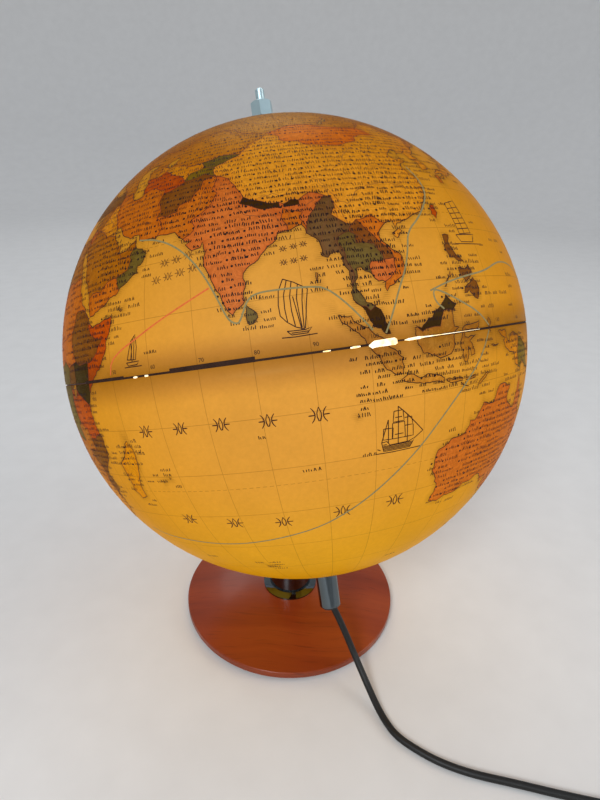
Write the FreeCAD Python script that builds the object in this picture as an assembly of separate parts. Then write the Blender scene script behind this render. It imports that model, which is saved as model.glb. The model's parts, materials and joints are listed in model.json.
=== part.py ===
import FreeCAD, Part
import math
import os

# Lit desktop globe on a turned stand.  Millimetres.
# Origin: centre of the underside, on the table.  +Z up, the axis leans to +Y, the arm is behind.

# ---------------------------------------------------------------- driving sizes
globe_r = 150.0          # outside radius of the globe
shell_wall = 2.0         # moulded hemisphere wall
tilt = 23.5              # lean of the axis from upright

seam_gap = 0.8           # open line between the two hemispheres
glue_gap = 0.05          # between two pieces that are bonded or snapped together
run_gap = 0.06           # radial running fit of the pole bearings
thread_gap = 0.05        # radial gap drawn at a screwed joint
axial_gap = 0.1          # end play where the globe rests on its washer

pole_hole_r = 14.0       # hole in each hemisphere for its bearing cap
cap_flange_r = 24.0      # flange of the bearing cap, bonded inside the shell
cap_flange_t = 2.4
cap_hub_r = 10.0
cap_hub_depth = 11.0     # hub length inwards from the cap's face
ring_half_h = 13.0       # joint ring inside the equator
ring_wall = 2.4

arm_gap = 3.0            # globe skin to the inside of the arm
arm_t = 3.0              # arm strip, radial
arm_w = 14.0             # arm strip, sideways
arm_eye_r = 11.0         # round eye at each end of the arm

tube_r = 5.0             # threaded lamp tube on the axis
tube_bore_r = 3.4
tube_in = 84.0           # reach of the lamp tube inwards from the arm
tube_out = 15.0          # reach of the lamp tube outwards from the arm
sleeve_r = 7.5           # polished sleeve over the tube's outer end
sleeve_len = 27.0
sleeve_round = 1.2
nut_flats = 14.0         # lock nut between the arm and the globe
washer_t = 1.2           # nylon washers
washer_r = 8.2

rod_r = 3.0              # north pivot rod
rod_in = 14.0            # reach of the rod inwards from the arm
rod_tip = 8.8            # rod end that shows above the finial nut
rod_collar_r = 6.5
finial_flats = 13.0
finial_h = 11.5
finial_washer_t = 1.0
finial_washer_r = 7.0

base_r = 86.0            # wooden disc
rim_h = 9.0              # height of the disc's top edge above the table
base_h = 16.0            # height of the disc's middle
base_flat_r = 26.0       # flat seat for the stem
rim_round = 1.2
rim_chamfer = 2.0
felt_t = 2.0
felt_r = 82.0
ballast_r = 60.0
ballast_t = 7.0
ballast_gap = 0.2
bolt_r = 4.0             # base bolt
bolt_head_flats = 13.0
bolt_head_h = 3.8
bolt_washer_r = 8.4
bolt_washer_t = 1.0
bolt_grip = 14.0         # thread length inside the stem
head_room = 9.5          # counterbore radius in the ballast

foot_r = 22.0            # brim of the stem
foot_edge = 1.2
foot_h = 3.4
stem_h = 53.0            # base to the arm's lowest point
stem_r = 17.3
stem_straight = 20.0     # height of the straight part above the base
stem_top_r = 11.0
stem_neck = 11.0         # straight neck below the arm
screw_r = 3.0            # arm screw
screw_head_r = 5.6
screw_len = 15.0
screw_sink = 0.2

cord_r = 2.4             # mains cord
bush_len = 11.0          # cord bushing inside the sleeve
bush_lip = 1.0
bush_wall = 1.2          # sleeve wall around the bushing
bush_mouth_r = 5.4       # flared mouth that the cord can lean on
lead_back = 15.0         # the free cord starts this far inside the sleeve

holder_r = 13.5          # lampholder
holder_cap_h = 22.0
holder_body_h = 34.0
holder_wall = 2.0
holder_floor = 4.0
contact_t = 1.5
screw_shell_r = 7.5
screw_shell_t = 0.4
bulb_cap_r = 7.0
bulb_cap_h = 26.0
bulb_tip_h = 1.5
bulb_r = 22.5
bulb_wall = 1.0
bulb_rise = 32.0         # cap top to the middle of the glass ball

switch_len = 50.0        # switch on the cord
switch_w = 24.0
switch_h = 15.6
switch_wall = 1.8
switch_corner = 6.0
channel_gap = 0.4        # cord channel through the switch
cavity_len = 34.0
window_len = 17.2
window_w = 9.6
rocker_len = 15.2
rocker_w = 9.0
rocker_pin_r = 1.2
rocker_tilt = 8.0        # each way from level
pivot_z = 12.2
lug_t = 1.8
clip_screw_r = 1.25
clip_head_r = 2.2

coil_turn_r = 27.5       # middle of the turns
coil_layers = 3
tie_t = 0.8              # strap round the coil
tie_w = 7.0
lead_stub = 22.0         # straight lead on the coil's outer shape

relief_len = 24.0        # moulded strain relief of the plug
relief_r = 3.4
relief_root_r = 5.4
plug_len = 34.0
plug_w = 34.0
plug_t = 13.6
pin_r = 2.0
pin_len = 19.0
pin_pitch = 19.0
pin_root_r = 1.6         # thinner root moulded into the plug
pin_root = 8.0

arm_in = globe_r + arm_gap
arm_out = arm_in + arm_t
centre_h = base_h + stem_h + arm_out     # globe centre above the table
lead_end = arm_out + sleeve_len - lead_back

# ---------------------------------------------------------------- helpers
V = FreeCAD.Vector
PARTS = {}


def add(name, shape):
    PARTS[name] = shape


def on_axis(shape):
    """Take a piece drawn about the globe's centre, north up, to its leaning place."""
    s = shape.copy()
    s.rotate(V(0, 0, 0), V(1, 0, 0), -tilt)
    s.translate(V(0, 0, centre_h))
    return s


def turned(path):
    """Solid of revolution from (r, z) points; a pair of points is an arc's middle and end."""
    edges = []
    first = V(path[0][0], 0, path[0][1])
    here = first
    for step in path[1:]:
        if isinstance(step[0], tuple):
            mid = V(step[0][0], 0, step[0][1])
            end = V(step[1][0], 0, step[1][1])
            edges.append(Part.Arc(here, mid, end).toShape())
        else:
            end = V(step[0], 0, step[1])
            edges.append(Part.LineSegment(here, end).toShape())
        here = end
    if here.distanceToPoint(first) > 1e-6:
        edges.append(Part.LineSegment(here, first).toShape())
    face = Part.Face(Part.Wire(edges))
    return face.revolve(V(0, 0, 0), V(0, 0, 1), 360)


def cyl(r, z0, z1, x=0.0, y=0.0):
    return Part.makeCylinder(r, z1 - z0, V(x, y, z0))


def pipe(r_out, r_in, z0, z1):
    return cyl(r_out, z0, z1).cut(cyl(r_in, z0 - 1, z1 + 1))


def hexagon(flats, z0, z1):
    r = flats / 2 / math.cos(math.radians(30))
    pts = []
    for k in range(7):
        a = math.radians(60 * k)
        pts.append(V(r * math.cos(a), r * math.sin(a), z0))
    return Part.Face(Part.makePolygon(pts)).extrude(V(0, 0, z1 - z0))


def on_sphere(radius, r):
    """Distance from the equator plane of a sphere's point at radius r from the axis."""
    return math.sqrt(radius ** 2 - r ** 2)


def arc_on_sphere(radius, p, q):
    """Middle and end of an arc of a sphere's outline from p to q."""
    mid_a = (math.atan2(p[1], p[0]) + math.atan2(q[1], q[0])) / 2
    return ((radius * math.cos(mid_a), radius * math.sin(mid_a)), q)


def flipped(shape):
    """The same piece for the other pole."""
    return shape.mirror(V(0, 0, 0), V(0, 0, 1))


# ---------------------------------------------------------------- globe
inside_r = globe_r - shell_wall
bond_r = inside_r - glue_gap


def hemisphere():
    """Northern half of the ball, open at the pole for its bearing cap."""
    ro, ri = globe_r, inside_r
    edge = seam_gap / 2
    p0 = (on_sphere(ri, edge), edge)
    p1 = (on_sphere(ro, edge), edge)
    p2 = (pole_hole_r, on_sphere(ro, pole_hole_r))
    p3 = (pole_hole_r, on_sphere(ri, pole_hole_r))
    return turned([p0, p1, arc_on_sphere(ro, p1, p2), p3, arc_on_sphere(ri, p3, p0)])


add("northern_hemisphere", on_axis(hemisphere()))
add("southern_hemisphere", on_axis(flipped(hemisphere())))

bead = seam_gap / 2 - glue_gap
ring_r = on_sphere(bond_r, ring_half_h)
ring_in = ring_r - ring_wall
b1 = (ring_r, -ring_half_h)
b2 = (on_sphere(bond_r, bead), -bead)
b3 = (on_sphere(bond_r, bead), bead)
b4 = (ring_r, ring_half_h)
bead_r = globe_r - shell_wall * 0.4
joint_ring = turned([
    (ring_in, -ring_half_h), b1, arc_on_sphere(bond_r, b1, b2),
    (bead_r, -bead), (bead_r, bead), b3, arc_on_sphere(bond_r, b3, b4),
    (ring_in, ring_half_h)])
add("equator_joint_ring", on_axis(joint_ring))

# the caps' faces sit level with the rim of the pole holes
cap_face = on_sphere(globe_r, pole_hole_r) - 0.2


def bearing_cap(shaft_r):
    """Northern bearing cap: plug in the pole hole, flange bonded inside, long hub."""
    bore = shaft_r + run_gap
    plug_r = pole_hole_r - glue_gap
    p1 = (plug_r, on_sphere(bond_r, plug_r))
    p2 = (cap_flange_r, on_sphere(bond_r, cap_flange_r))
    under = p2[1] - cap_flange_t
    tip = cap_face - cap_hub_depth
    return turned([
        (bore, cap_face), (plug_r, cap_face), p1, arc_on_sphere(bond_r, p1, p2),
        (cap_flange_r, under), (cap_hub_r + 2, under), (cap_hub_r, tip), (bore, tip)])


add("north_bearing_cap", on_axis(bearing_cap(rod_r)))
add("south_bearing_cap", on_axis(flipped(bearing_cap(tube_r))))

# ---------------------------------------------------------------- arm
strip = Part.Face(Part.makePolygon([
    V(-arm_w / 2, 0, -arm_in), V(arm_w / 2, 0, -arm_in),
    V(arm_w / 2, 0, -arm_out), V(-arm_w / 2, 0, -arm_out), V(-arm_w / 2, 0, -arm_in)]))
arm = strip.revolve(V(0, 0, 0), V(1, 0, 0), 180)
for side in (-1, 1):
    lo, hi = sorted((side * arm_in, side * arm_out))
    arm = arm.fuse(cyl(arm_eye_r, lo, hi))
    lo, hi = sorted((side * (arm_in - arm_gap), side * arm_in))
    arm = arm.cut(cyl(arm_eye_r, lo, hi))
arm = arm.cut(cyl(tube_r + thread_gap, -arm_out - 1, -arm_in + 1))
arm = arm.cut(cyl(rod_r + thread_gap, arm_in - 1, arm_out + 1))
arm = on_axis(arm.removeSplitter())

# countersunk screw straight down through the arm's lowest point into the stem
seat_z = centre_h - arm_out
screw_top = centre_h - arm_in - screw_sink
cone_h = screw_head_r - screw_r
screw_hole_r = screw_r + thread_gap
sink = Part.makeCone(screw_hole_r, screw_head_r + thread_gap + 1, cone_h + 1,
                     V(0, 0, screw_top - cone_h))
arm = arm.cut(sink).cut(cyl(screw_hole_r, seat_z - 5, screw_top))
add("meridian_arm", arm)

screw = Part.makeCone(screw_r, screw_head_r, cone_h, V(0, 0, screw_top - cone_h))
screw = screw.fuse(cyl(screw_r, screw_top - screw_len, screw_top - cone_h))
socket = hexagon(4.0, screw_top - 1.6, screw_top + 1)
add("arm_screw", screw.removeSplitter().cut(socket))

# ---------------------------------------------------------------- base and stem
disc_z = felt_t
span = base_r - rim_round - base_flat_r
rise = base_h - rim_h
dome_r = (span ** 2 + rise ** 2) / (2 * rise)
dome_z = base_h - dome_r
mid_r = base_flat_r + span / 2
dome_mid = (mid_r, dome_z + math.sqrt(dome_r ** 2 - (span / 2) ** 2))
corner = rim_round * (1 - math.cos(math.radians(45)))
disc = turned([
    (0, disc_z), (base_r - rim_chamfer, disc_z), (base_r, disc_z + rim_chamfer),
    (base_r, rim_h - rim_round),
    ((base_r - corner, rim_h - corner), (base_r - rim_round, rim_h)),
    (dome_mid, (base_flat_r, base_h)), (0, base_h)])
pocket_z = disc_z + ballast_t
disc = disc.cut(cyl(ballast_r + ballast_gap, disc_z - 1, pocket_z))
disc = disc.cut(cyl(bolt_r + thread_gap, disc_z, base_h + 1))
add("base_disc", disc)

bolt_seat = disc_z + bolt_head_h + bolt_washer_t + 0.2
ballast = cyl(ballast_r, disc_z, pocket_z)
ballast = ballast.cut(cyl(head_room, disc_z - 1, bolt_seat))
ballast = ballast.cut(cyl(bolt_r + thread_gap, disc_z, pocket_z + 1))
add("ballast_plate", ballast)
add("base_washer", pipe(bolt_washer_r, bolt_r + thread_gap, bolt_seat - bolt_washer_t, bolt_seat))
head_z = bolt_seat - bolt_washer_t - bolt_head_h
bolt = hexagon(bolt_head_flats, head_z, head_z + bolt_head_h)
bolt = bolt.fuse(cyl(bolt_r, head_z + bolt_head_h, base_h + bolt_grip))
add("base_bolt", bolt.removeSplitter())
add("base_felt", cyl(felt_r, 0, felt_t))

neck_z = seat_z - stem_neck
swell = ((stem_r + stem_top_r) / 2 - 0.8, (base_h + stem_straight + neck_z) / 2)
brim = (foot_r - stem_r) * 0.3
stem = turned([
    (0, base_h), (foot_r, base_h), (foot_r, base_h + foot_edge),
    ((stem_r + brim, base_h + foot_edge + (foot_h - foot_edge) * 0.62),
     (stem_r, base_h + foot_h)),
    (stem_r, base_h + stem_straight),
    (swell, (stem_top_r, neck_z)),
    (stem_top_r, seat_z + 2), (0, seat_z + 2)])
saddle = Part.makeCylinder(arm_out, 4 * foot_r, V(-2 * foot_r, 0, centre_h), V(1, 0, 0))
stem = stem.cut(saddle)
stem = stem.cut(cyl(bolt_r + thread_gap, base_h - 1, base_h + bolt_grip + 1))
stem = stem.cut(cyl(screw_hole_r, screw_top - screw_len - 1, seat_z + 1))
add("stem_column", stem)

# ---------------------------------------------------------------- south pole fittings
add("lamp_tube", on_axis(pipe(tube_r, tube_bore_r, -arm_out - tube_out, -arm_in + tube_in)))

sleeve_end = -arm_out - sleeve_len
bore_r = sleeve_r - bush_wall
bush_top = sleeve_end + bush_len
round_mid = sleeve_round * (1 - math.cos(math.radians(45)))
sleeve = turned([
    (tube_r + thread_gap, -arm_out), (sleeve_r, -arm_out),
    (sleeve_r, sleeve_end + sleeve_round),
    ((sleeve_r - round_mid, sleeve_end + round_mid), (sleeve_r - sleeve_round, sleeve_end)),
    (bore_r - 0.4, sleeve_end), (bore_r, sleeve_end + 0.4), (bore_r, bush_top + 0.2),
    (tube_r + thread_gap, bush_top + 0.2)])
add("axis_sleeve", on_axis(sleeve))

bush_r = bore_r - glue_gap
bushing = turned([
    (cord_r + 0.2, bush_top), (bush_r, bush_top), (bush_r, sleeve_end + 0.6),
    (bore_r - 0.6, sleeve_end), (bush_mouth_r + 0.3, sleeve_end - bush_lip),
    (bush_mouth_r, sleeve_end - bush_lip), (cord_r + 0.8, bush_top - 4),
    (cord_r + 0.2, bush_top - 1)])
add("cord_bushing", on_axis(bushing))

washer_seat = -cap_face - axial_gap
nut_face = washer_seat - washer_t
lock = hexagon(nut_flats, -arm_in, nut_face).cut(cyl(tube_r + thread_gap, -arm_in - 1, 0))
add("tube_lock_nut", on_axis(lock))
add("south_thrust_washer", on_axis(pipe(washer_r, tube_r + 0.15, nut_face, washer_seat)))

# ---------------------------------------------------------------- north pole fittings
north_seat = cap_face + 3 * axial_gap
collar_z = north_seat + washer_t
rod_top = arm_out + finial_washer_t + finial_h + rod_tip
rod = turned([
    (0, arm_in - rod_in), (rod_r - 0.6, arm_in - rod_in), (rod_r, arm_in - rod_in + 0.6),
    (rod_r, collar_z), (rod_collar_r, collar_z), (rod_collar_r, arm_in), (rod_r, arm_in),
    (rod_r, rod_top - 0.9), (rod_r - 0.9, rod_top), (0, rod_top)])
add("north_pivot_rod", on_axis(rod))
add("north_thrust_washer", on_axis(pipe(washer_r, rod_r + 0.15, north_seat, collar_z)))
nut_z = arm_out + finial_washer_t
add("finial_washer", on_axis(pipe(finial_washer_r, rod_r + thread_gap, arm_out, nut_z)))
corner_r = finial_flats / 2 / math.cos(math.radians(30))
nut_blank = turned([
    (rod_r + thread_gap, nut_z), (corner_r - 1.4, nut_z), (corner_r, nut_z + 2.0),
    (corner_r, nut_z + finial_h - 0.9), (corner_r - 1.0, nut_z + finial_h),
    (rod_r + thread_gap, nut_z + finial_h)])
add("finial_nut", on_axis(nut_blank.common(hexagon(finial_flats, nut_z, nut_z + finial_h))))

# ---------------------------------------------------------------- lampholder and bulb
tube_end = -arm_in + tube_in
hold_z = tube_end - 8
cap_top = hold_z + holder_cap_h
body_top = cap_top + holder_body_h
holder_cap = turned([
    (tube_r + thread_gap, hold_z), (holder_r - 5, hold_z), (holder_r, hold_z + 5),
    (holder_r, cap_top), (holder_r - holder_wall, cap_top),
    (holder_r - holder_wall, hold_z + 8), (tube_r + thread_gap, hold_z + 8)])
add("lampholder_cap", on_axis(holder_cap))
floor_z = cap_top + holder_floor
seat_r = screw_shell_r + glue_gap
holder = pipe(holder_r, seat_r, cap_top, body_top)
holder = holder.fuse(cyl(seat_r + 1, cap_top, floor_z)).removeSplitter()
holder = holder.cut(cyl(cord_r, cap_top - 1, floor_z - 1.5))
add("lampholder_body", on_axis(holder))
contact_top = floor_z + contact_t
add("lampholder_contact", on_axis(cyl(3.0, floor_z, contact_top)))
shell_in = screw_shell_r - screw_shell_t
add("lampholder_screw_shell", on_axis(pipe(screw_shell_r, shell_in, contact_top + 2, body_top - 2)))

bulb_z = contact_top + bulb_tip_h
bulb_top = bulb_z + bulb_cap_h
bulb_cap = turned([
    (0, contact_top), (2.2, contact_top), (2.6, bulb_z), (bulb_cap_r - 1, bulb_z),
    (bulb_cap_r, bulb_z + 1.2), (bulb_cap_r, bulb_top), (0, bulb_top)])
add("bulb_cap", on_axis(bulb_cap))


def bulb_outline(grow):
    """Neck and ball of the bulb, grown outwards or inwards."""
    neck = bulb_cap_r - 0.6 + grow
    ball = bulb_r + grow
    mid = bulb_top + bulb_rise
    join_a = math.radians(-52)
    side_a = math.radians(19)
    join = (ball * math.cos(join_a), mid + ball * math.sin(join_a))
    bend = ((neck + join[0]) / 2 - 1.0, (bulb_top + 5 + join[1]) / 2 + 0.6)
    side = (ball * math.cos(side_a), mid + ball * math.sin(side_a))
    return [(0, bulb_top), (neck, bulb_top), (neck, bulb_top + 5), (bend, join),
            (side, (0, mid + ball))]


glass = turned(bulb_outline(0)).cut(turned(bulb_outline(-bulb_wall)))
add("bulb_glass", on_axis(glass))
post_top = bulb_top + bulb_rise - 6
post = cyl(1.6, bulb_top, post_top)
bar = Part.makeCylinder(0.5, 20, V(-10, 0, post_top), V(1, 0, 0))
coil_wire = bar.fuse(Part.makeCylinder(0.35, 7, V(-9, 0, post_top), V(0, 0, 1)))
coil_wire = coil_wire.fuse(Part.makeCylinder(0.35, 7, V(9, 0, post_top), V(0, 0, 1)))
add("bulb_filament_mount", on_axis(post.fuse(coil_wire).removeSplitter()))

# the lead up the tube to the lampholder
add("lamp_lead", on_axis(cyl(cord_r, -lead_end, floor_z - 1.5)))

# ---------------------------------------------------------------- free cord
lean = math.radians(tilt)


def axis_point(k, side=0.0):
    """Point at distance k south of the globe's centre along the axis."""
    return V(side, -k * math.sin(lean), centre_h - k * math.cos(lean))


rest_z = cord_r + 0.1
switch_z = 5.2
coil_z = tie_t + cord_r
route = [
    axis_point(lead_end), axis_point(lead_end + 7.5), axis_point(lead_end + lead_back, 1.3),
    V(4.6, -76.7, 48.5), V(8.3, -81.8, 37.0), V(10.9, -88.0, 27.0), V(13.0, -97.6, 17.0),
    V(14.2, -110.8, 8.4), V(14.1, -124.4, 3.9), V(14.4, -136.0, 2.6),
    V(15.8, -146.5, rest_z), V(21.6, -157.8, rest_z), V(31.5, -172.2, rest_z),
    V(46.5, -186.7, rest_z), V(66.0, -200.7, rest_z), V(86.5, -216.2, rest_z),
    V(107.7, -231.5, rest_z), V(129.8, -248.6, switch_z), V(174.9, -285.0, switch_z),
    V(197.3, -301.9, coil_z), V(208.2, -310.6, coil_z)]


def tube_along(points, radius, label):
    """Round tube on straight runs joined by tangent arcs as large as the runs allow."""
    edges = []
    here = points[0]
    length = 0.0
    radii = []
    for a, b, c in zip(points, points[1:], points[2:]):
        back = (a - b).normalize()
        ahead = (c - b).normalize()
        half = (math.pi - back.getAngle(ahead)) / 2
        reach = 0.45 * min((a - b).Length, (c - b).Length)
        bend = reach / math.tan(half)
        radii.append(bend)
        p = b + back * reach
        q = b + ahead * reach
        inward = (back + ahead).normalize()
        mid = b + inward * (bend / math.cos(half) - bend)
        edges.append(Part.LineSegment(here, p).toShape())
        edges.append(Part.Arc(p, mid, q).toShape())
        length += (p - here).Length + bend * 2 * half
        here = q
    edges.append(Part.LineSegment(here, points[-1]).toShape())
    length += (points[-1] - here).Length
    start = Part.Wire([Part.makeCircle(radius, points[0], points[1] - points[0])])
    tube = Part.Wire(edges).makePipeShell([start], True, True)
    print(label, "length", round(length, 1), "radii", [round(r, 1) for r in radii])
    print(label, "volume ratio", round(tube.Volume / (math.pi * radius ** 2 * length), 4))
    return tube


add("power_cord", tube_along(route, cord_r, "power_cord"))

# coil of the rest of the cord: a ring of turns with a straight lead at each end
last = (route[-1] - route[-2]).normalize()
right = V(last.y, -last.x, 0)
turn_r = coil_turn_r + 2 * cord_r
touch = route[-1] + last * lead_stub
centre = V(touch.x, touch.y, 0) + right * turn_r
bundle = coil_layers * cord_r
coil_lo = tie_t
coil_hi = tie_t + 2 * bundle
ring = Part.makeCylinder(coil_turn_r + bundle, 2 * bundle, V(centre.x, centre.y, coil_lo))
ring = ring.cut(Part.makeCylinder(coil_turn_r - bundle, 2 * bundle + 2,
                                  V(centre.x, centre.y, coil_lo - 1)))
ring = ring.makeFillet(cord_r * 0.8, ring.Edges)
plug_z = plug_t / 2
out_at = V(centre.x, centre.y - turn_r, plug_z)
plug_at = out_at + V(-lead_stub, 0, 0)
lead_a = Part.makeCylinder(cord_r, lead_stub, route[-1], last)
lead_b = Part.makeCylinder(cord_r, lead_stub, plug_at, V(1, 0, 0))
add("cord_coil", ring.fuse(lead_a).fuse(lead_b).removeSplitter())
print("coil centre", centre, "inside radius", coil_turn_r - bundle)

tie_in = Part.makeBox(2 * bundle + 2 * glue_gap, tie_w, 2 * bundle + 2 * glue_gap,
                      V(centre.x + coil_turn_r - bundle - glue_gap, centre.y - tie_w / 2,
                        coil_lo - glue_gap))
tie_box = Part.makeBox(2 * bundle + 2 * tie_t, tie_w, 2 * bundle + 2 * tie_t,
                       V(centre.x + coil_turn_r - bundle - tie_t, centre.y - tie_w / 2, 0))
tie_edges = [e for e in tie_box.Edges if e.BoundBox.YLength > tie_w / 2]
tie = tie_box.makeFillet(tie_t, tie_edges).cut(tie_in)
bulge = Part.makeCylinder(coil_turn_r + bundle + glue_gap, 2 * bundle,
                          V(centre.x, centre.y, coil_lo))
hollow = Part.makeCylinder(coil_turn_r - bundle - glue_gap, 2 * bundle,
                           V(centre.x, centre.y, coil_lo))
add("cord_tie", tie.cut(bulge.cut(hollow)))

# ---------------------------------------------------------------- switch on the cord
sw_a = route[17]
sw_b = route[18]
sw_mid = (sw_a + sw_b) * 0.5
sw_turn = math.degrees(math.atan2(sw_b.y - sw_a.y, sw_b.x - sw_a.x))


def on_cord(shape):
    """Take a switch piece drawn along X at the origin to its place on the cord."""
    s = shape.copy()
    s.rotate(V(0, 0, 0), V(0, 0, 1), sw_turn)
    s.translate(V(sw_mid.x, sw_mid.y, 0))
    return s


def block(length, width, z0, z1, corner=0.0):
    b = Part.makeBox(length, width, z1 - z0, V(-length / 2, -width / 2, z0))
    if corner:
        b = b.makeFillet(corner, [e for e in b.Edges if e.BoundBox.ZLength > (z1 - z0) / 2])
    return b


cavity_w = switch_w - 2 * switch_wall
channel = Part.makeCylinder(cord_r + channel_gap, switch_len + 2,
                            V(-switch_len / 2 - 1, 0, switch_z), V(1, 0, 0))
screw_x = switch_len / 2 - switch_corner + 1.5
screw_y = switch_w / 2 - switch_corner + 1.2
screw_at = [(screw_x, screw_y), (-screw_x, -screw_y)]
lower = block(switch_len, switch_w, 0, switch_z, switch_corner)
lower = lower.cut(block(cavity_len, cavity_w, switch_wall, switch_z + 1)).cut(channel)
upper = block(switch_len, switch_w, switch_z, switch_h, switch_corner)
rims = [e for e in upper.Edges if abs(e.BoundBox.ZMin - switch_h) < 0.01]
upper = upper.makeFillet(1.2, rims)
roof = switch_h - switch_wall
upper = upper.cut(block(cavity_len, cavity_w, switch_z - 1, roof)).cut(channel)
lug_y = rocker_w / 2 + 0.4
for side in (-1, 1):
    y0 = lug_y if side > 0 else -lug_y - lug_t
    lug = Part.makeBox(6, lug_t, roof + 0.5 - (pivot_z - 2.6), V(-3, y0, pivot_z - 2.6))
    upper = upper.fuse(lug)
upper = upper.cut(block(window_len, window_w, pivot_z, switch_h + 1))
upper = upper.removeSplitter()
pin_half = lug_y + lug_t - 0.2
upper = upper.cut(Part.makeCylinder(rocker_pin_r + run_gap, 2 * (lug_y + lug_t) + 2,
                                    V(0, -lug_y - lug_t - 1, pivot_z), V(0, 1, 0)))
screws = []
for x, y in screw_at:
    lower = lower.cut(cyl(clip_head_r + 0.2, -1, 2.0, x, y))
    lower = lower.cut(cyl(clip_screw_r + 0.1, 0, switch_z + 1, x, y))
    upper = upper.cut(cyl(clip_screw_r + thread_gap, switch_z - 1, switch_z + 6.5, x, y))
    s = cyl(clip_head_r, 0.3, 2.0, x, y).fuse(cyl(clip_screw_r, 2.0, switch_z + 6, x, y))
    slot = Part.makeBox(3.4, 0.7, 0.8, V(x - 1.7, y - 0.35, 0.2))
    screws.append(on_cord(s.removeSplitter().cut(slot)))
add("switch_lower_housing", on_cord(lower))
add("switch_upper_housing", on_cord(upper))
add("switch_screws", Part.makeCompound(screws))

half = rocker_len / 2
crown = switch_h + 1.4
key_face = Part.Face(Part.makePolygon([
    V(-half + 2.2, -rocker_w / 2, pivot_z - 2.2), V(-half, -rocker_w / 2, pivot_z + 1.0),
    V(-half, -rocker_w / 2, crown), V(0, -rocker_w / 2, crown - 1.1),
    V(half, -rocker_w / 2, crown), V(half, -rocker_w / 2, pivot_z + 1.0),
    V(half - 2.2, -rocker_w / 2, pivot_z - 2.2), V(-half + 2.2, -rocker_w / 2, pivot_z - 2.2)]))
rocker = key_face.extrude(V(0, rocker_w, 0))
rocker = rocker.fuse(Part.makeCylinder(rocker_pin_r, 2 * pin_half,
                                       V(0, -pin_half, pivot_z), V(0, 1, 0)))
rocker = rocker.removeSplitter()
rocker.rotate(V(0, 0, pivot_z), V(0, 1, 0), rocker_tilt)
add("switch_rocker", on_cord(rocker))
blades = []
for side in (-1, 1):
    b = Part.makeBox(12, 3, 2.4, V(-6, side * 6 - 1.5, switch_wall))
    b = b.fuse(Part.makeBox(1.2, 3, 3.6, V(side * 4.5 - 0.6, side * 6 - 1.5, switch_wall + 2.4)))
    blades.append(on_cord(b.removeSplitter()))
add("switch_contacts", Part.makeCompound(blades))

# ---------------------------------------------------------------- plug
relief = Part.makeCone(relief_r, relief_root_r, relief_len + 1, V(0, 0, 0), V(1, 0, 0))
for k in range(4):
    groove = Part.makeCylinder(12, 1.2, V(4 + 5 * k, 0, 0), V(1, 0, 0))
    keep = Part.makeCylinder(cord_r + 0.5, 1.2, V(4 + 5 * k, 0, 0), V(1, 0, 0))
    relief = relief.cut(groove.cut(keep))
outline = Part.makePolygon([
    V(relief_len, -7, -plug_t / 2), V(relief_len + 9, -plug_w / 2 + 2, -plug_t / 2),
    V(relief_len + 17, -plug_w / 2, -plug_t / 2), V(relief_len + plug_len, -plug_w / 2, -plug_t / 2),
    V(relief_len + plug_len, plug_w / 2, -plug_t / 2), V(relief_len + 17, plug_w / 2, -plug_t / 2),
    V(relief_len + 9, plug_w / 2 - 2, -plug_t / 2), V(relief_len, 7, -plug_t / 2),
    V(relief_len, -7, -plug_t / 2)])
body = Part.Face(outline).extrude(V(0, 0, plug_t))
body = body.makeFillet(2.5, body.Edges)
plug = body.fuse(relief).removeSplitter()
pins = []
for side in (-1, 1):
    y = side * pin_pitch / 2
    face_x = relief_len + plug_len
    pin = Part.makeCylinder(pin_r, pin_len - 1.2, V(face_x, y, 0), V(1, 0, 0))
    tip = Part.makeCone(pin_r, pin_r - 0.9, 1.2, V(face_x + pin_len - 1.2, y, 0), V(1, 0, 0))
    root = Part.makeCylinder(pin_root_r, pin_root, V(face_x - pin_root, y, 0), V(1, 0, 0))
    plug = plug.cut(Part.makeCylinder(pin_root_r + glue_gap, pin_root + 1,
                                      V(face_x - pin_root, y, 0), V(1, 0, 0)))
    pins.append(pin.fuse(tip).fuse(root).removeSplitter())


def at_plug(shape):
    """Turn a plug piece to point away from the coil and set it on the table."""
    s = shape.copy()
    s.rotate(V(0, 0, 0), V(0, 0, 1), 180)
    s.translate(plug_at)
    return s


add("plug_body", at_plug(plug))
add("plug_pins", Part.makeCompound([at_plug(p) for p in pins]))

# ---------------------------------------------------------------- write
os.makedirs("parts", exist_ok=True)
for name, shape in PARTS.items():
    solids = shape.Solids
    ok = shape.isValid() and all(s.Volume > 0 for s in solids)
    print(name, len(solids), "solids", round(shape.Volume, 1), "valid" if ok else "INVALID")
    shape.exportStep("parts/" + name + ".step")
print(len(PARTS), "nodes")
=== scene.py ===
import json
import math
import bpy
from mathutils import Matrix, Vector, geometry, kdtree, noise


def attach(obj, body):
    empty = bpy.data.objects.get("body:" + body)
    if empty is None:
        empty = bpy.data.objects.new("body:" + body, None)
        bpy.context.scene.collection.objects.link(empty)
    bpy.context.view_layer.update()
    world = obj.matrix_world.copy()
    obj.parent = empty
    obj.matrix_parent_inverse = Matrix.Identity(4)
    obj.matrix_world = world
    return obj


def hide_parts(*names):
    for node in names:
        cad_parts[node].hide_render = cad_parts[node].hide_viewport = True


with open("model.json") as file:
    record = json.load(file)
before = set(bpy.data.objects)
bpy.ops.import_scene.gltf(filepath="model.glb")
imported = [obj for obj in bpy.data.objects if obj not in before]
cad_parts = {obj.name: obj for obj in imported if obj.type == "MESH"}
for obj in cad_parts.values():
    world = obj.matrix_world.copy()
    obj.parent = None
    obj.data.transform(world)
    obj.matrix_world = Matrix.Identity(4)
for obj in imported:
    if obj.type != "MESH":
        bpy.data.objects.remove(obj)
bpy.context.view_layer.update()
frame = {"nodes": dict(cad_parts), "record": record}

NODES = frame["nodes"]
RECORD = frame["record"]
SCENE = bpy.context.scene


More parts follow.
